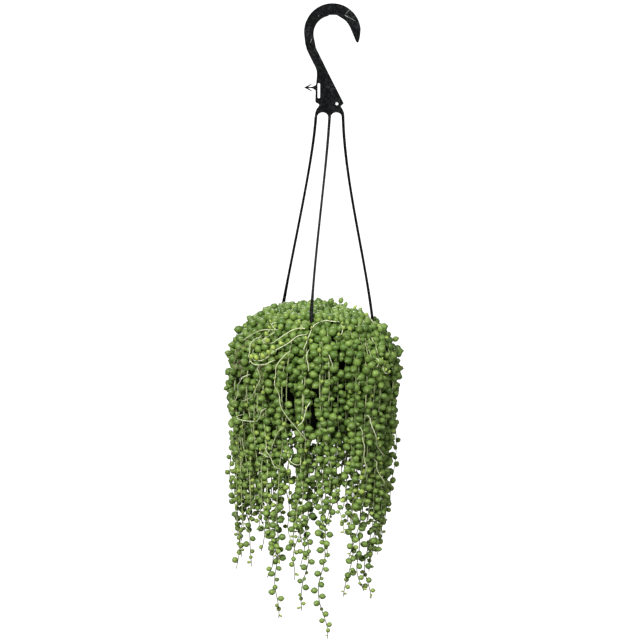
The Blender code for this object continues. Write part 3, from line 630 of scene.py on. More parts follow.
def strand_route(plan):
    """The stem's centre line and the distance along it.

    A quarter of an oval climbs from the root to the crest, a second one goes over the rim, and
    then the stem hangs down, with a slow wave, a small quick one and a curl in its last stretch.
    It stays under the plant's cover, and all hang a little more to the left further down.
    """
    t = np.linspace(0.0, 3.0, 301)
    rise = 0.5 * pi * held(t)
    over = 0.5 * pi * held(t - 1.0)
    crest, crest_height, hang, hang_height, bend = [
        plan[name] for name in ("crest", "crest_height", "hang", "hang_height", "bend")]
    up_radius = crest - (crest - plan["root"]) * np.cos(rise)
    up_height = SOIL_TOP + (crest_height - SOIL_TOP) * np.sin(rise)
    over_radius = crest + (hang - crest) * np.sin(over) ** bend
    over_height = hang_height + (crest_height - hang_height) * held(np.cos(over)) ** bend
    radius = np.where(t < 1.0, up_radius, over_radius)
    height = np.where(t < 1.0, up_height, over_height) - held(t - 2.0) * (plan["drop"] + hang_height)
    side, back = sin(radians(plan["angle"])), -cos(radians(plan["angle"]))
    radius = np.minimum(radius, cover_radius(height, side, back) - STEM_DEPTH)
    over_rim = (t > 1.0) & (np.abs(radius - RIM_RADIUS) < 2.5) & (height > -6.0)
    height = np.where(over_rim, np.maximum(height, ABOVE_RIM), height)
    below = np.maximum(0.0, -height - SWING_STARTS)
    wave = np.radians(plan["phase"] + WAVE_TURN * below)
    swing = plan["sway"] * fade(below, 0.0, 50.0)
    loose = (np.maximum(0.0, -height - plan["loose_below"]) / 100.0) ** 2
    radius = radius + swing * np.sin(wave) - LEAN_IN * below - LEAN_LEFT * side * fade(below, 0.0, 80.0)
    shift = swing * (np.cos(1.3 * wave) + 0.4 * np.sin(3.7 * wave)) + CURL_WIDTH * plan["curl"] * loose
    shift = shift + LOW_WAVE * fade(-height, 215.0, 275.0) * np.sin(below / 16.0 + plan["phase"])
    if plan["beside_leg"]:
        shift = shift + LEG_DETOUR * (1.0 - fade(-height, 8.0, 46.0))
    drift = plan["drift"] * np.sin(0.4 * pi * np.clip(t - 0.5, 0.0, 2.5))
    points = round_the_pot(radius, np.radians(plan["angle"] + drift) + shift / radius, height)
    return points, path_lengths(points)


def walk(points, distances, where):
    """Points and unit directions at distances along a closely spaced path."""
    at, ahead = [
        np.stack([np.interp(where + move, distances, points[:, axis]) for axis in range(3)], axis=-1)
        for move in (-0.4, 0.4)]
    heading = ahead - at
    return 0.5 * (at + ahead), heading / lengths(heading)


def unit(vectors):
    """Vectors brought to length one, or left at nothing."""
    return vectors / np.maximum(lengths(vectors), 1e-9)


def stem(points, distances, reference, thick, thin, finish=1, tint=0.5, age=0.45):
    """A thin round stem carried along a path, narrowing evenly and closed to a point."""
    where = np.linspace(0.0, distances[-1], max(4, int(distances[-1] / STEM_STEP)))
    centres, heading = walk(points, distances, where)
    up = unit(np.cross(heading, reference))
    side = np.cross(up, heading)
    turn = once_round(STEM_SIDES)[None, :, None]
    radius = np.linspace(thick, thin, len(where))[:, None, None]
    rings = centres[:, None] + radius * (side[:, None] * np.cos(turn) + up[:, None] * np.sin(turn))
    ends = centres[[0, -1]] + heading[[0, -1]] * np.array(((-thick,), (2.0 * thin,)))
    return lathe(ends[:1], rings[None], ends[1:], finish, tint, age)


def pearls(roots, centres, radii, slimness, rolls, tint, age):
    """Pearls turned about the lines from their roots on the stem to their middles."""
    axis = (centres - roots) / lengths(centres - roots)
    side = unit(np.cross(axis, np.array((0.31, 0.17, 0.94))))
    up = np.cross(axis, side)
    turn = rolls[:, None] + once_round(PEARL_SIDES)
    spoke = side[:, None] * np.cos(turn)[:, :, None] + up[:, None] * np.sin(turn)[:, :, None]
    stretch = 1.0 + 0.55 * (1.0 - slimness)
    along = radii[:, None] * PEARL_ALONG * stretch[:, None]
    around = (radii * slimness)[:, None] * PEARL_AROUND
    middles = centres[:, None] + axis[:, None] * along[:, :5, None]
    rings = middles[:, :, None] + around[:, :, None, None] * spoke[:, None]
    points = centres + axis * along[:, 5:]
    return lathe(roots, rings, points, 0, tint, age)


# Pearls already in place press new ones aside: their middles and radii. The first are stand-ins
# for the legs, with a clear view from the front to where the middle and the right leg end.
FOOT_HEIGHTS = (3.0, 1.5, 5.0)
CLEAR_FRONTS = (34.0, 32.0, 0.0)
VIEW_RISE = 0.16
LEG_LEAN = 0.18
settled = [np.zeros((0, 3)), np.zeros(0)]
low_corner = np.array(cad_box[0]) / MM - 4.0
high_corner = np.array(cad_box[1]) / MM + 4.0


def put_in_place(centres, radii):
    """Add pearls to those that press new ones aside."""
    settled[:] = np.vstack((settled[0], centres)), np.concatenate((settled[1], radii))


for angle, foot_height, clear_front in zip(SLOT_ANGLES, FOOT_HEIGHTS, CLEAR_FRONTS):
    foot = round_the_pot(SLOT_RING_RADIUS, radians(angle), foot_height + 3.0)
    grids = np.meshgrid(np.arange(0.0, clear_front + 1.0, 3.0), np.arange(0.0, 40.0, 4.0))
    front, rise = [grid.ravel() for grid in grids]
    sheet = np.stack((-LEG_LEAN * rise * sin(radians(angle)), -front, rise + VIEW_RISE * front), axis=-1)
    put_in_place(foot + sheet, np.full(len(sheet), 1.5))


def swells(places):
    """How far whole groups of pearls stand out or lie back: the product of two slow waves."""
    return LUMP_HEIGHT * (np.sin(places @ np.array((0.15, 0.12, 0.11)))
                          * np.sin(places @ np.array((-0.1, 0.14, 0.18))))


# Where the curtain parts and shows the dark pot, seen from the front: how far right of the pot's
# axis, the height from the rim, half the width and half the height of each oval parting.
PARTINGS = ((-38.0, -57.0, 6.5, 7.0), (-8.0, -91.0, 5.0, 12.0), (-11.0, -75.0, 7.5, 5.5),
            (4.0, -40.0, 4.5, 5.0), (-4.0, -58.0, 5.0, 5.0))


def in_parting(centres):
    """Whether pearls lie in front of the pot within one of the oval partings."""
    across = centres[:, 0] - POT_AXIS_X
    height = centres[:, 2] - RIM_Z
    inside = [np.hypot((across - middle) / half_width, (height - level) / half_height) < 1.0
              for middle, level, half_width, half_height in PARTINGS]
    return (centres[:, 1] < 0.0) & np.any(inside, axis=0)


PRESS_REACH = 14.0
DEEPEST_PRESS = 0.55
SHORTEST_STALK = 0.5
LONGEST_STALK = 4.0


def settle(roots, centres, radii, rounds=12):
    """Move pearls apart where they overlap, each staying near its root; say which ones fit.

    In each round a pearl moves along the sum of its overlaps with its neighbours, is drawn back
    to the length of a stalk, and is kept off the pot, under the plant's cover and in the box.
    """
    least, most = centres.min(axis=0) - PRESS_REACH, centres.max(axis=0) + PRESS_REACH
    near = np.all((settled[0] > least) & (settled[0] < most), axis=1)
    fixed, fixed_radii = settled[0][near], settled[1][near]
    reach = radii[:, None] + np.concatenate((fixed_radii, radii))
    stand_out = swells(roots) + 0.4 * LUMP_HEIGHT * np.sin(roots @ np.array((2.3, 1.7, 1.3)))
    rooted_outside = np.hypot(roots[:, 0] - POT_AXIS_X, roots[:, 1]) > RIM_RADIUS - 3.0
    for repeat in range(rounds):
        others = np.vstack((fixed, centres))
        apart = centres[:, None] - others
        distance = np.linalg.norm(apart, axis=2) + 1e-6
        overlap = np.clip(reach - distance, 0.0, None)
        overlap[np.arange(len(radii)), len(fixed) + np.arange(len(radii))] = 0.0
        deepest = overlap.max(axis=1)
        if repeat == rounds - 1:
            break
        push = (apart / distance[:, :, None] * overlap[:, :, None]).sum(axis=1) * 0.5
        centres = centres + push * np.minimum(1.0, 1.5 / (np.linalg.norm(push, axis=1) + 1e-6))[:, None]
        arm = centres - roots
        length = lengths(arm)
        longest = radii[:, None] + LONGEST_STALK
        centres = roots + arm / length * np.clip(length, radii[:, None] + SHORTEST_STALK, longest)
        flat = centres[:, :2] - np.array((POT_AXIS_X, 0.0))
        spread = np.linalg.norm(flat, axis=1)
        height = centres[:, 2] - RIM_Z
        toward = flat / spread[:, None]
        limit = cover_radius(height + 0.5 * radii, toward[:, 0], toward[:, 1]) + stand_out
        beyond = np.clip(spread + 0.85 * radii - limit, 0.0, 4.0)
        on_top = fade(height, -20.0, 20.0)
        wanted = spread - beyond * (1.0 - 0.6 * on_top)
        centres[:, 2] -= 0.6 * on_top * beyond
        low = (height < np.minimum(radii, 4.0)) & (height > -POT_HEIGHT)
        wanted = np.where(low & rooted_outside, np.maximum(wanted, CLEAR_OF_POT + radii), wanted)
        on_rim = low & ~rooted_outside & (spread > WALL_RADIUS - 6.0)
        centres[:, 2] = np.where(on_rim, RIM_Z + np.minimum(radii, 4.0), centres[:, 2])
        centres[:, :2] = np.array((POT_AXIS_X, 0.0)) + flat * (wanted / spread)[:, None]
        centres = np.clip(centres, low_corner + radii[:, None], high_corner - radii[:, None])
    fits = (deepest < DEEPEST_PRESS * radii) & ~in_parting(centres)
    put_in_place(centres[fits], radii[fits])
    return centres, fits


def settled_pearls(roots, centres, radii, *looks):
    """Pearls moved apart, without those that don't fit; looks are slimness, rolls, tint and age."""
    centres, fits = settle(roots, centres, radii)
    return pearls(*[item[fits] for item in (roots, centres, radii, *looks)])


def draws(chance, rows, columns):
    """A table of seeded numbers from 0 to 1."""
    return np.array([[chance.random() for column in range(columns)] for row in range(rows)])


OUTSIDE_RIM = 67.0
UNDER_RIM = -12.0
TIP_LENGTH = 26.0
CLOSE_SPACING = 1.42


def pearl_row(plan, points, distances, chance):
    """The pearls of one strand, closer and larger above, smaller and further apart to the tip."""
    height = points[:, 2] - RIM_Z
    spread = np.hypot(points[:, 0] - POT_AXIS_X, points[:, 1])
    total = distances[-1]
    bare_over_rim = plan["beside_leg"] or plan["first_pearl"] is None
    pearled = (spread > OUTSIDE_RIM) & (height < UNDER_RIM) if bare_over_rim else height > plan["first_pearl"]
    distance = distances[np.argmax(pearled)]
    row = []
    while distance < total - 1.0:
        share = distance / total
        to_tip = total - distance
        radius = (PEARL_RADIUS - 1.5 * share**1.6) * chance.choice(PEARL_SIZES)
        fresh = max(0.0, 1.0 - to_tip / TIP_LENGTH)
        radius *= 1.0 - 0.5 * fresh**1.5
        row.append((distance, radius, fresh))
        loose = 0.65 * share**2.5 * plan["sparse"]
        distance += radius * (CLOSE_SPACING * plan["sparse"] + loose) * chance.uniform(0.88, 1.22)
    distance, radius, fresh = np.array(row).T
    count = len(distance)
    roots, heading = walk(points, distances, distance)
    tangent = rim_way(radians(plan["angle"]))
    up = unit(np.cross(heading, tangent))
    numbers = draws(chance, count, 6)
    lie = np.radians(plan["phase"] + LEAF_TURN * np.arange(count)) + 0.8 * (numbers[:, 0] - 0.5)
    lift = np.where(roots[:, 2] > RIM_Z - 45.0, 0.75, 0.15)
    side = tangent * np.cos(lie)[:, None] + up * (np.sin(lie) + lift)[:, None]
    side = unit(side + 0.35 * heading * (numbers[:, 1:2] - 0.35))
    slim = np.where(fresh > 0.72, 0.55 + 0.25 * numbers[:, 2], 0.82 + 0.2 * np.sqrt(numbers[:, 2]))
    small = radius < 0.8 * np.median(radius)
    young = small & (numbers[:, 3] > 0.5) & (roots[:, 2] > RIM_Z - 190.0)
    age = held(fresh * 0.75 + 0.5 * young)
    paler = held((RIM_Z - 90.0 - roots[:, 2]) / 120.0)
    tint = numbers[:, 5] * (1.0 - 0.3 * paler) + 0.42 * paler
    centres = roots + side * (radius + 0.7)[:, None]
    return settled_pearls(roots, centres, radius, slim, numbers[:, 4] * 6.28, tint, age)


def strand_parts(plan, chance, thick, thin):
    """The stem and the pearls of one strand."""
    points, distances = strand_route(plan)
    tangent = rim_way(radians(plan["angle"]))
    return [stem(points, distances, tangent, thick, thin, tint=chance.random()),
            pearl_row(plan, points, distances, chance)]


waxy = Paint("pearl skin", {"Roughness": 0.42, "Specular IOR Level": 0.45, "Coat Weight": 0.12,
                            "Coat Roughness": 0.3})
skin_map = waxy.node("ShaderNodeUVMap", {"uv_map": "skin"}, {})
along_skin = waxy.along("Y", skin_map)
off_slit = waxy.maths("ABSOLUTE", waxy.along("X", skin_map) - 0.5, 0.0)
slit = (1.0 - waxy.ramp(off_slit, 0.008, 0.035)) * waxy.ramp(along_skin, 0.2, 0.32)
slit = slit * (1.0 - waxy.ramp(along_skin, 0.76, 0.88))
pearl_skin = waxy.finish(waxy.coats(
    (88, 120, 46), (waxy.attribute("tint"), (140, 170, 80)),
    (waxy.ramp(waxy.noise(190.0, 3.0), 0.35, 0.75) * 0.35, (82, 108, 54)),
    (waxy.attribute("age"), (186, 208, 98)), (slit * 0.55, (50, 84, 34)),
    (waxy.ramp(along_skin, 0.86, 0.99) * 0.7, (176, 184, 110)),
    ((1.0 - waxy.ramp(along_skin, 0.08, 0.24)) * 0.8, (176, 196, 126))))

fibre = Paint("green stem", {"Roughness": 0.55, "Specular IOR Level": 0.35})
stem_age = fibre.attribute("age")
stem_height = fibre.along("Z", fibre.place())
stem_skin = fibre.finish(fibre.coats(
    (118, 134, 80), (fibre.attribute("tint"), (214, 226, 168)),
    (fibre.ramp(fibre.noise(160.0, 3.0), 0.45, 0.7) * 0.5, (128, 118, 92)),
    (fibre.ramp(stem_age, 0.5, 0.85), (232, 238, 196)),
    (1.0 - fibre.ramp(stem_age, 0.05, 0.35), (126, 118, 88)),
    ((1.0 - fibre.ramp(stem_height + 1.0, 0.39, 0.46)) * 0.8, (108, 102, 78))))

number = 0
for layer_name, layer in LAYERS.items():
    for step in range(15):
        number += 1
        chance = random.Random(9000 + number)
        main = strand_plan(layer_name, step)
        plans = [main] + [sister_plan(main, chance, (side + 1.0) / (layer["sisters"] + 1.0))
                          for side in range(layer["sisters"])]
        parts = []
        for plan in plans:
            parts += strand_parts(plan, chance, 0.8, 0.5)
        strand = put_piece(f"pearl_strand_{number:02d}", parts, [pearl_skin, stem_skin])
        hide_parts(f"strand_{number:02d}")
        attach(strand, "root")


# Short shoots stand between the crown and the strands and lie over the shoulder of the plant.
# They are younger growth of the same kind, rooted in the mix inside the three rings.

SHORT_SHOOTS = 44
shoot_parts = []
for shoot in range(SHORT_SHOOTS):
    chance = random.Random(3000 + shoot)
    reach = chance.random()
    angle = 360.0 * (shoot + 0.5 * chance.random()) / SHORT_SHOOTS * 5.0
    to_left = -sin(radians(angle))
    plan = dict(LAYERS["outer"], angle=angle, root=chance.uniform(34.0, 41.0),
                crest=40.0 + 10.0 * reach + 4.0 * to_left, crest_height=20.0 - 5.0 * reach,
                hang=62.0 + 22.0 * reach + 7.0 * to_left, hang_height=-2.0 - 26.0 * reach, bend=1.1,
                drop=chance.uniform(4.0, 12.0) + 34.0 * reach, phase=chance.uniform(0.0, 360.0), sway=1.0,
                curl=0.0, drift=chance.gauss(0.0, 9.0), loose_below=LOOSE_BELOW, beside_leg=False,
                sparse=1.05, first_pearl=8.0)
    shoot_parts += strand_parts(plan, chance, 0.85, 0.45)
# Single leaves that stand out from the plant's outline in the photo: the middle's distance from
# the pot's axis and its height from the rim, the leaf's radius, slimness and age.
OUTLINE_LEAVES = (
    (-79.2, 11.1, 4.4, 0.84, 0.0), (-87.1, -8.0, 4.2, 0.84, 0.0), (-57.5, 21.4, 3.9, 0.82, 0.1),
    (-45.2, 23.4, 3.7, 0.62, 0.0), (-36.9, 20.5, 3.5, 0.62, 0.1), (-24.6, 24.2, 2.4, 0.6, 0.9),
    (-20.7, 19.6, 2.0, 0.55, 1.0), (-17.3, 25.8, 3.7, 0.9, 0.0), (10.6, 28.7, 3.9, 0.92, 0.0),
    (21.8, 29.6, 3.4, 0.84, 0.2), (26.9, 24.8, 3.0, 0.8, 0.2), (37.5, 21.9, 2.3, 0.7, 1.0),
    (43.2, 18.4, 3.0, 0.84, 0.2), (59.5, 5.5, 3.0, 0.86, 0.0), (61.5, -0.5, 2.8, 0.9, 0.0),
    (83.4, -15.4, 3.7, 0.9, 0.2), (87.4, -29.2, 4.7, 0.84, 0.0), (89.3, -48.7, 3.4, 0.84, 0.3),
    (-99.9, -18.5, 4.0, 0.84, 0.1), (-103.9, -27.4, 4.0, 0.84, 0.1), (-106.2, -67.1, 3.4, 0.84, 0.0),
)
chance = random.Random(58)
across, height, radii, slimness, leaf_age = np.array(OUTLINE_LEAVES).T
behind = 0.12 * across + 20.0 * ((across > 55.0) & (across < 70.0))
centres = np.stack((POT_AXIS_X + across, behind, RIM_Z + height), axis=1)
outward = unit(centres - np.array((POT_AXIS_X, 0.0, RIM_Z - 28.0)))
shaken = [[chance.uniform(-0.25, 0.25) for axis in range(3)] for leaf in OUTLINE_LEAVES]
outward = unit(outward + np.array(shaken))
shoot_parts.append(pearls(centres - outward * (radii + 5.0)[:, None], centres, radii, slimness,
                          0.0 * across, 0.5 + 0.0 * across, leaf_age))
# Small leaves on the stems where they lie bare over the rim, on both sides of the right leg.
RIM_LEAVES = 130
numbers = draws(chance, RIM_LEAVES, 6)
radii = 1.7 + 1.1 * numbers[:, 1]
roots = round_the_pot(56.0 + 11.0 * numbers[:, 2], np.radians(66.0 + 82.0 * numbers[:, 0]), ABOVE_RIM)
lift = unit(np.array((0.0, 0.0, 1.0)) + 0.9 * (numbers[:, 3:] - 0.5))
shoot_parts.append(settled_pearls(
    roots, roots + lift * (radii + 0.8)[:, None], radii, 0.8 + 0.2 * numbers[:, 4],
    6.28 * numbers[:, 5], numbers[:, 3], 0.35 * numbers[:, 4]))
short_shoots = put_piece("short_shoots", shoot_parts, [pearl_skin, stem_skin])
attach(short_shoots, "root")


# The crown in the middle of the pot is a packed mat of short shoots. Under its pearls lies a
# bumpy core of old stems, coloured dark green as painted shade, that shows only between them.

CROWN_RADIUS = 34.0
CROWN_BASE = -3.0
CROWN_TOP = 29.5
CROWN_POWER = 2.0 / 2.8
# The crown's layers of pearls: how many, how far every third one lies inside the dome, the least
# radius, and the turn of the first. The second layer fills the hollows that the first one leaves.
CROWN_LAYERS = ((330, 7.0, 3.6, 0.0), (420, 4.0, 2.5, 1.3))


def crown_side(radius, height, steps):
    """The dome's side as (radius, height above its base): an oval with squared shoulders."""
    turn = np.linspace(0.0, 0.5 * pi, steps)
    return np.stack((radius * np.sin(turn) ** CROWN_POWER, height * np.cos(turn) ** CROWN_POWER), axis=1)


# The core's dark green is painted shade: it stands for the shade deep between the crown's pearls.
shade_paint = Paint("dark core in painted shade", {"Roughness": 0.8, "Specular IOR Level": 0.2})
painted_shade_colour = shade_paint.coats((26, 38, 18), (shade_paint.ramp(shade_paint.noise(350.0, 4.0), 0.35, 0.7), (70, 92, 42)))
core_skin_in_painted_shade = shade_paint.finish(painted_shade_colour, None, shade_paint.noise(500.0, 3.0), 0.002)

chance = random.Random(77)
side = crown_side(CROWN_RADIUS, CROWN_TOP - CROWN_BASE - 4.2, 400)
width = np.linalg.norm(np.diff(side, axis=0), axis=1)
areas = np.concatenate(([0.0], np.cumsum(0.5 * (side[1:, 0] + side[:-1, 0]) * width)))
crown_parts = []
for count, sink, least_radius, first_turn in CROWN_LAYERS:
    order = np.arange(count)
    level = (order + 0.5) / count * areas[-1]
    turn = first_turn + pi * (3.0 - sqrt(5.0)) * order
    numbers = draws(chance, count, 7)
    inset = sink * (order % 3 == 0)
    radius, height = [np.interp(level, areas, side[:, axis]) - inset * share
                      for axis, share in ((0, 0.5), (1, 1.0))]
    centres = round_the_pot(radius, turn, CROWN_BASE + height)
    outward = unit(centres - round_the_pot(0.0, 0.0, CROWN_BASE + 6.0))
    outward = unit(outward + 1.3 * (numbers[:, :3] - 0.5))
    radii = least_radius + 1.2 * numbers[:, 3]
    roots = centres - outward * (radii + 1.4)[:, None]
    fresh = np.where(numbers[:, 4] > 0.88, 0.6, 0.0)
    crown_parts.append(settled_pearls(roots, centres, radii, 0.92 + 0.1 * numbers[:, 5],
                                      numbers[:, 6] * 6.28, numbers[:, 0], fresh))
core_side = crown_side(CROWN_RADIUS - 5.0, CROWN_TOP - CROWN_BASE - 9.0, 12)[::-1]
core = [(0.0, SOIL_TOP + 0.4), (CROWN_RADIUS - 6.0, SOIL_TOP + 0.4),
        *[(radius, CROWN_BASE + height) for radius, height in core_side]]
core_part = dict(turned(core, 40), finish=2)
crown = put_piece("crown_shoots", [core_part] + crown_parts, [pearl_skin, stem_skin, core_skin_in_painted_shade])
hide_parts("crown")
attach(crown, "root")


# Young bare stems trail over the pearls in long arcs and loops. Most are nearly white and carry
# a few bright, very small pearls on stalks. Those in front were measured in the photo.

# Each trail: the angle round the pot and the height from the rim of its points, where pearls
# stand on it as shares of its length, their usual radius, and its age from 0, dry, to 1, fresh.
FRONT_TRAILS = (
    (((-11, 5), (-18, 4), (-23, -4), (-30, -11), (-36, -20), (-41, -26), (-49, -22), (-54, -18),
      (-53, -10), (-53, -3)),
     (0.3, 0.38, 0.45, 0.51, 0.57, 0.63), 2.9, 0.9),
    (((-33, -24), (-35, -27), (-40, -29), (-45, -29), (-48, -25)), (), 1.5, 0.8),
    (((-37, 7), (-43, 8), (-52, 4), (-58, 0), (-61, -4), (-64, -9)), (0.2,), 1.8, 0.7),
    (((-12, 11), (-19, 11), (-24, 8), (-28, 3), (-33, -3), (-37, -7), (-43, -5), (-42, 0), (-38, 5)),
     (0.62, 0.8), 2.8, 0.8),
    (((16, 16), (13, 17), (3, 18), (-6, 16), (-8, 9), (-9, 4), (-11, -4), (-12, -11)),
     (0.24, 0.4, 0.6, 0.76), 2.2, 0.9),
    (((-22, -13), (-26, -20), (-27, -26), (-28, -37), (-28, -44), (-27, -56), (-24, -73), (-21, -83),
      (-16, -93), (-12, -102), (-8, -110)), (0.34,), 1.6, 0.7),
    (((-41, -29), (-39, -38), (-40, -49), (-42, -59), (-47, -68), (-54, -72)), (0.5,), 1.6, 0.6),
    (((-42, -62), (-42, -70), (-39, -78), (-39, -86)), (), 1.5, 0.6),
    (((-50, -42), (-60, -58), (-62, -73), (-71, -83)), (0.9,), 2.0, 0.8),
    (((-61, -90), (-52, -94), (-44, -93), (-40, -89), (-36, -76)), (0.6,), 1.8, 0.8),
    (((-57, -99), (-56, -114), (-57, -132)), (), 1.5, 0.5),
    (((-24, -95), (-30, -107), (-31, -122)), (), 1.5, 0.6),
    (((-7, -66), (-10, -76), (-11, -88), (-15, -92)), (0.3, 0.6, 0.85), 1.8, 0.9),
    (((-43, -127), (-40, -127), (-36, -132)), (0.1,), 1.8, 0.8),
    (((-38, -120), (-33, -130), (-30, -139), (-26, -143)), (), 1.5, 0.7),
    (((-21, -121), (-23, -126), (-20, -132), (-14, -136)), (0.3, 0.45), 2.2, 0.9),
    (((35, -86), (36, -101), (40, -115), (46, -125), (53, -137)), (0.5, 0.7), 1.8, 0.9),
    (((43, -137), (45, -155), (51, -169)), (0.5,), 1.8, 0.7),
    (((29, -98), (30, -132), (31, -156)), (), 1.5, 0.6),
    (((46, -27), (48, -41), (52, -43)), (0.2, 0.4, 0.6, 0.8), 2.4, 1.0),
    (((18, 13), (17, 7), (14, 0)), (0.2, 0.5, 0.8), 2.3, 1.0),
    (((-42, 14), (-38, 10), (-36, 6)), (0.3, 0.6, 0.9), 1.8, 1.0),
    (((-21, 19), (-17, 15), (-14, 10)), (0.2, 0.6), 2.0, 1.0),
    (((-9, -11), (-10, -19), (-8, -26), (-8, -33)), (), 1.5, 0.7),
    (((5, -16), (6, -21), (8, -30)), (), 1.5, 0.8),
    (((41, -23), (43, -29), (42, -36)), (), 1.5, 0.8),
    (((-61, -14), (-62, -20), (-63, -27), (-60, -38)), (), 1.5, 0.1),
    (((-58, -28), (-56, -36), (-55, -46)), (), 1.5, 0.1),
    (((-40, -30), (-37, -40), (-38, -48), (-39, -60)), (), 1.5, 0.0),
    (((-61, -107), (-66, -131), (-62, -153)), (0.4, 0.7), 1.9, 0.6),
)
# Loose strands that hang just outside the others on the left and the right in the photo: the
# distance from the pot's axis and the height from the rim of their points.
LOOSE_STRANDS = (
    ((-91, -80), (-96, -100), (-99, -118), (-101, -138), (-103, -153), (-104, -170), (-102, -185),
     (-97, -199)),
    ((-97, -160), (-99, -190), (-97, -211), (-95, -228), (-92, -240), (-93, -258), (-97, -277)),
    ((-93, -60), (-98, -84), (-101, -96), (-98, -112), (-99, -128), (-97, -146), (-98, -168),
     (-96, -188), (-95, -204)),
    ((74, -78), (82, -100), (85, -126), (85, -143), (84, -155), (82, -169), (79, -182), (78, -205)),
    ((73, -165), (76, -190), (74, -205), (71, -223), (68, -236), (66, -252), (64, -265)),
)


def eased(points, rounds=3):
    """A smooth curve near its points: every corner is cut at a quarter of its sides, three times."""
    points = np.array(points, float)
    for repeat in range(rounds):
        here, ahead = points[:-1], points[1:]
        cuts = np.stack((0.75 * here + 0.25 * ahead, 0.25 * here + 0.75 * ahead), axis=1)
        points = np.concatenate((points[:1], cuts.reshape(-1, points.shape[1]), points[-1:]))
    return points


def dressed(points, shares, pearl_size, freshness, reference, outward, chance):
    """A thin stem along points, with pearls on stalks at shares of its length."""
    points = np.clip(points, low_corner + 1.0, high_corner - 1.0)
    distances = path_lengths(points)
    parts = [stem(points, distances, reference, 0.55, 0.42, tint=chance.random(), age=freshness)]
    if len(shares):
        roots = walk(points, distances, np.array(shares) * distances[-1])[0]
        numbers = draws(chance, len(shares), 5)
        radii = pearl_size * (0.8 + 0.4 * numbers[:, 0])
        lift = unit(0.7 * outward + np.array((0.0, 0.0, 0.9)) + 0.6 * (numbers[:, 1:4] - 0.5))
        centres = roots + lift * (radii + 1.4)[:, None]
        centres = np.clip(centres, low_corner + radii[:, None], high_corner - radii[:, None])
        slim = (0.62 if freshness > 0.5 and pearl_size < 2.5 else 0.84) + 0.2 * numbers[:, 4]
        age = (0.7 if freshness > 0.5 else 0.05) + 0.25 * numbers[:, 3]
        parts.append(pearls(roots, centres, radii, slim, 6.28 * numbers[:, 1], numbers[:, 2], age))
    return parts


TRAIL_STANDS_OFF = 1.8
ENDS_GO_IN = 9.0


def trail(places, shares, pearl_size, freshness, chance):
    """A bare stem lying on the plant, its ends going in among the pearls, with young pearls."""
    places = eased(places)
    turn = np.radians(places[:, 0])
    from_end = np.minimum(np.arange(len(places)), np.arange(len(places))[::-1])
    radius = cover_radius(places[:, 1], np.sin(turn), -np.cos(turn))
    radius = radius + TRAIL_STANDS_OFF + 0.9 * swells(round_the_pot(radius, turn, places[:, 1]))
    radius = radius - ENDS_GO_IN * held(1.0 - from_end / 4.0)
    radius = radius - 3.0 * np.abs(np.sin(turn)) ** 4 - 3.0 * held(-np.cos(turn))
    points = round_the_pot(radius, turn, places[:, 1])
    middle_turn = turn[len(turn) // 2]
    outward = np.array((sin(middle_turn), -cos(middle_turn), 0.25))
    return dressed(points, shares, pearl_size, freshness, outward, outward, chance)


chance = random.Random(41)
trail_parts = []
for places, shares, pearl_size, freshness in FRONT_TRAILS:
    trail_parts += trail(places, shares, pearl_size, freshness, chance)
for extra in range(30):
    angle = chance.uniform(112.0, 250.0)
    height = chance.uniform(-110.0, 22.0)
    places = [(angle, height)]
    heading = chance.uniform(0.0, 360.0)
    for step in range(chance.randint(3, 7)):
        heading += chance.gauss(0.0, 38.0)
        angle += 6.5 * cos(radians(heading))
        height += 9.0 * sin(radians(heading)) - 4.0
        places.append((angle, min(height, 26.0)))
    shares = [chance.uniform(0.15, 0.9) for pearl in range(chance.choice((0, 1, 3, 4)))]
    trail_parts += trail(places, shares, 1.9, chance.uniform(0.2, 1.0), chance)
for places in LOOSE_STRANDS:
    places = eased(places)
    points = np.stack((POT_AXIS_X + places[:, 0], 0.1 * places[:, 0], RIM_Z + places[:, 1]), axis=1)
    shares = np.arange(0.06, 0.99, 0.075) + chance.uniform(-0.02, 0.02)
    lie = 2.4 * np.arange(len(shares))
    sides = np.stack((np.cos(lie), np.sin(lie), 0.0 * shares), axis=1)
    trail_parts += dressed(points, shares, 3.4, 0.45, np.array((0.0, 1.0, 0.0)), sides, chance)
young_trails = put_piece("young_trailing_stems", trail_parts, [pearl_skin, stem_skin])
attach(young_trails, "root")


# The studio: a pale sweep far below and behind the plant, an even white surround, a large soft
# light above the camera's left shoulder, and weaker ones to the right, above and behind.

PLANT_MIDDLE = (-0.0142, 0.0, -0.36)
CAMERA_PLACE = (-0.0142, -2.17292, 0.00656)
CAMERA_TILT = 81.0
CAMERA_LENS = 110.49
SWEEP_WIDTH = 9.0
SWEEP_BACK = 3.6
SWEEP_FLOOR = -3.0

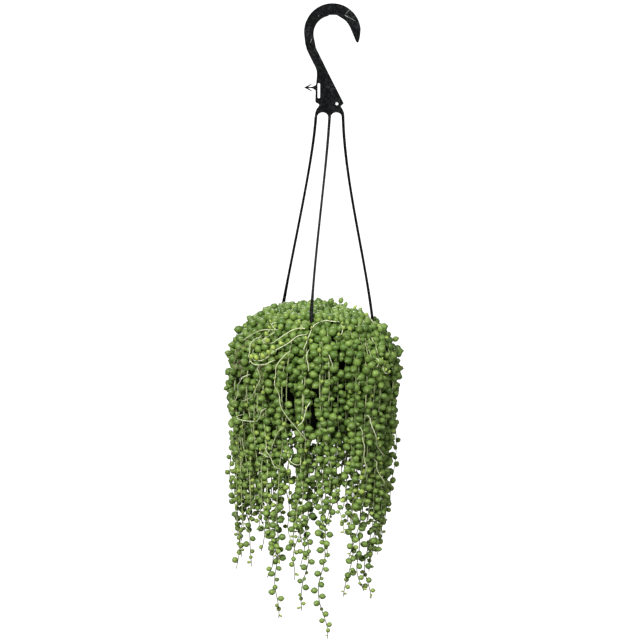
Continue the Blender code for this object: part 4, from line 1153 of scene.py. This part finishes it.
sweep_paint = Paint("studio paper", {"Roughness": 1.0, "Specular IOR Level": 0.0, "Emission Strength": 1.0,
                                     "Emission Color": (1.0, 1.0, 1.0, 1.0)})
paper = sweep_paint.finish(srgb(244, 244, 244))
turn = np.radians(np.linspace(-90.0, 0.0, 16))
curve_y = np.concatenate(([-SWEEP_BACK], SWEEP_BACK - 1.0 + np.cos(turn), [SWEEP_BACK]))
curve_z = np.concatenate(([SWEEP_FLOOR], SWEEP_FLOOR + 1.0 + np.sin(turn), [3.0]))
mesh = bpy.data.meshes.new("studio_sweep")
points = [(x, y, z) for x in (-0.5 * SWEEP_WIDTH, 0.5 * SWEEP_WIDTH) for y, z in zip(curve_y, curve_z)]
length = len(curve_y)
mesh.from_pydata(points, [], [(k, k + length, k + length + 1, k + 1) for k in range(length - 1)])
mesh.materials.append(paper)
sweep = add_object("studio_sweep", mesh)
sweep.visible_diffuse = False
sweep.visible_glossy = False


def soft_light(name, place, size, power):
    """A square area light that faces the middle of the plant."""
    lamp = bpy.data.lights.new(name, "AREA")
    lamp.size = size
    lamp.energy = power
    holder = add_object(name, lamp)
    holder.location = place
    aim = np.array(PLANT_MIDDLE) - np.array(place)
    tilt = atan2(np.hypot(aim[0], aim[1]), -aim[2])
    holder.rotation_euler = (tilt, 0.0, atan2(aim[1], aim[0]) - 0.5 * pi)


soft_light("key_light", (-0.8, -1.8, 0.9), 0.7, 54.0)
soft_light("right_light", (1.3, -1.6, 0.3), 0.9, 14.0)
soft_light("top_light", (0.1, 0.1, 1.3), 0.8, 3.0)
soft_light("back_light", (-0.4, 1.9, 0.7), 1.2, 24.0)

world = bpy.data.worlds.new("white surround")
world.use_nodes = True
surround = world.node_tree
background = surround.nodes["Background"]
background.inputs["Color"].default_value = (1.0, 1.0, 1.0, 1.0)
seen = surround.nodes.new("ShaderNodeLightPath")
strength = surround.nodes.new("ShaderNodeMapRange")
strength.inputs["To Min"].default_value = 0.1
strength.inputs["To Max"].default_value = 1.0
surround.links.new(seen.outputs["Is Camera Ray"], strength.inputs["Value"])
surround.links.new(strength.outputs["Result"], background.inputs["Strength"])
bpy.context.scene.world = world
bpy.context.scene.view_settings.view_transform = "Standard"

camera_data = bpy.data.cameras.new("camera")
camera_data.lens = CAMERA_LENS
camera_data.sensor_width = 36.0
camera = add_object("camera", camera_data)
camera.location = CAMERA_PLACE
camera.rotation_euler = (radians(CAMERA_TILT), 0.0, 0.0)
bpy.context.scene.camera = camera
